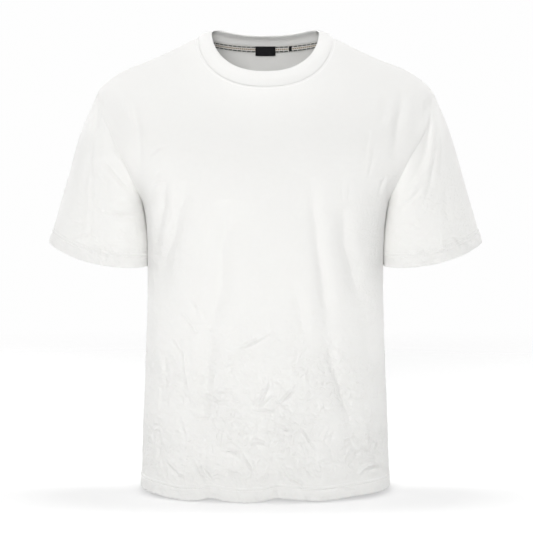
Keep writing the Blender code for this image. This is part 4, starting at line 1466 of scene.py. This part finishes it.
def makeFloor():
    deselectAll()
    bpy.ops.mesh.primitive_circle_add(vertices=96, radius=studio["floorRadius"], fill_type="NGON",
                                      location=(0, 0, studio["floorZ"]))
    floor = bpy.context.object
    floor.name = "studioFloor"
    shader = Shader("studio floor", 0.9)
    surface = shader.surface.inputs
    surface["Specular IOR Level"].default_value = 0.0
    surface["Emission Color"].default_value = (1, 1, 1, 1)
    seen = shader.add("ShaderNodeLightPath").outputs["Is Camera Ray"]
    shader.join(mathNode(shader.tree, "MULTIPLY", seen, studio["floorGlow"]), surface["Emission Strength"])
    mix = shader.add("ShaderNodeMix", data_type="RGBA")
    mix.inputs[6].default_value, mix.inputs[7].default_value = studio["floorBounce"], studio["floorSeen"]
    shader.join(seen, mix.inputs[0])
    shader.join(mix.outputs[2], surface["Base Color"])
    far = shader.add("ShaderNodeVectorMath", operation="LENGTH")
    shader.join(shader.objectPlace(), far.inputs[0])
    fade = shader.add("ShaderNodeMapRange", interpolation_type="SMOOTHSTEP")
    fade.inputs["From Min"].default_value, fade.inputs["From Max"].default_value = studio["floorFade"]
    fade.inputs["To Min"].default_value, fade.inputs["To Max"].default_value = 1.0, 0.0
    shader.join(far.outputs["Value"], fade.inputs["Value"])
    shader.join(fade.outputs["Result"], surface["Alpha"])
    floor.data.materials.append(shader.material)


def makeWorld():  # white where the camera sees it, and a softer grey as light
    world = bpy.data.worlds.new("studio")
    bpy.context.scene.world = world
    world.use_nodes = True
    tree = world.node_tree
    tree.nodes.clear()
    output, mix = tree.nodes.new("ShaderNodeOutputWorld"), tree.nodes.new("ShaderNodeMixShader")
    path = tree.nodes.new("ShaderNodeLightPath")
    tree.links.new(path.outputs["Is Camera Ray"], mix.inputs[0])
    for index, strength in ((1, studio["worldLight"]), (2, studio["worldSeen"])):
        background = tree.nodes.new("ShaderNodeBackground")
        background.inputs["Color"].default_value = (1, 1, 1, 1)
        background.inputs["Strength"].default_value = strength
        tree.links.new(background.outputs[0], mix.inputs[index])
    tree.links.new(mix.outputs[0], output.inputs[0])


def aim(thing, place, target):
    thing.location = place
    away = np.array(place) - np.array(target)
    flat = math.hypot(away[0], away[1])
    thing.rotation_euler = (math.atan2(flat, away[2]), 0, math.atan2(away[0], -away[1]))


def makeLights():
    target = studio["lightsAimAt"]
    for name, (turn, height, distance, size, power) in studioLights.items():
        turn, height = math.radians(turn), math.radians(height)
        place = np.array(target) + distance * np.array([math.sin(turn) * math.cos(height),
                                                        -math.cos(turn) * math.cos(height), math.sin(height)])
        deselectAll()
        bpy.ops.object.light_add(type="AREA")
        light = bpy.context.object
        light.name = name + "Light"
        light.data.shape = "RECTANGLE"
        light.data.size, light.data.size_y = size
        light.data.energy = power
        light.visible_camera = False
        aim(light, place, target)
    place, target, cone, power = studio["neckLight"]
    deselectAll()
    bpy.ops.object.light_add(type="SPOT")
    light = bpy.context.object
    light.name = "neckLight"
    light.data.spot_size, light.data.spot_blend = math.radians(cone), 1.0
    light.data.shadow_soft_size = 0.10
    light.data.energy = power
    aim(light, place, target)


def makeCamera():
    deselectAll()
    bpy.ops.object.camera_add(location=studio["camera"], rotation=(math.pi / 2 - studio["cameraDown"], 0, 0))
    camera = bpy.context.object
    camera.data.sensor_width = 36.0
    camera.data.lens = studio["lens"]
    camera.data.clip_start, camera.data.clip_end = 0.05, 60
    bpy.context.scene.camera = camera


makeFloor()
makeWorld()
makeLights()
makeCamera()
bpy.context.scene.view_settings.view_transform = "Standard"
print("studio ready")
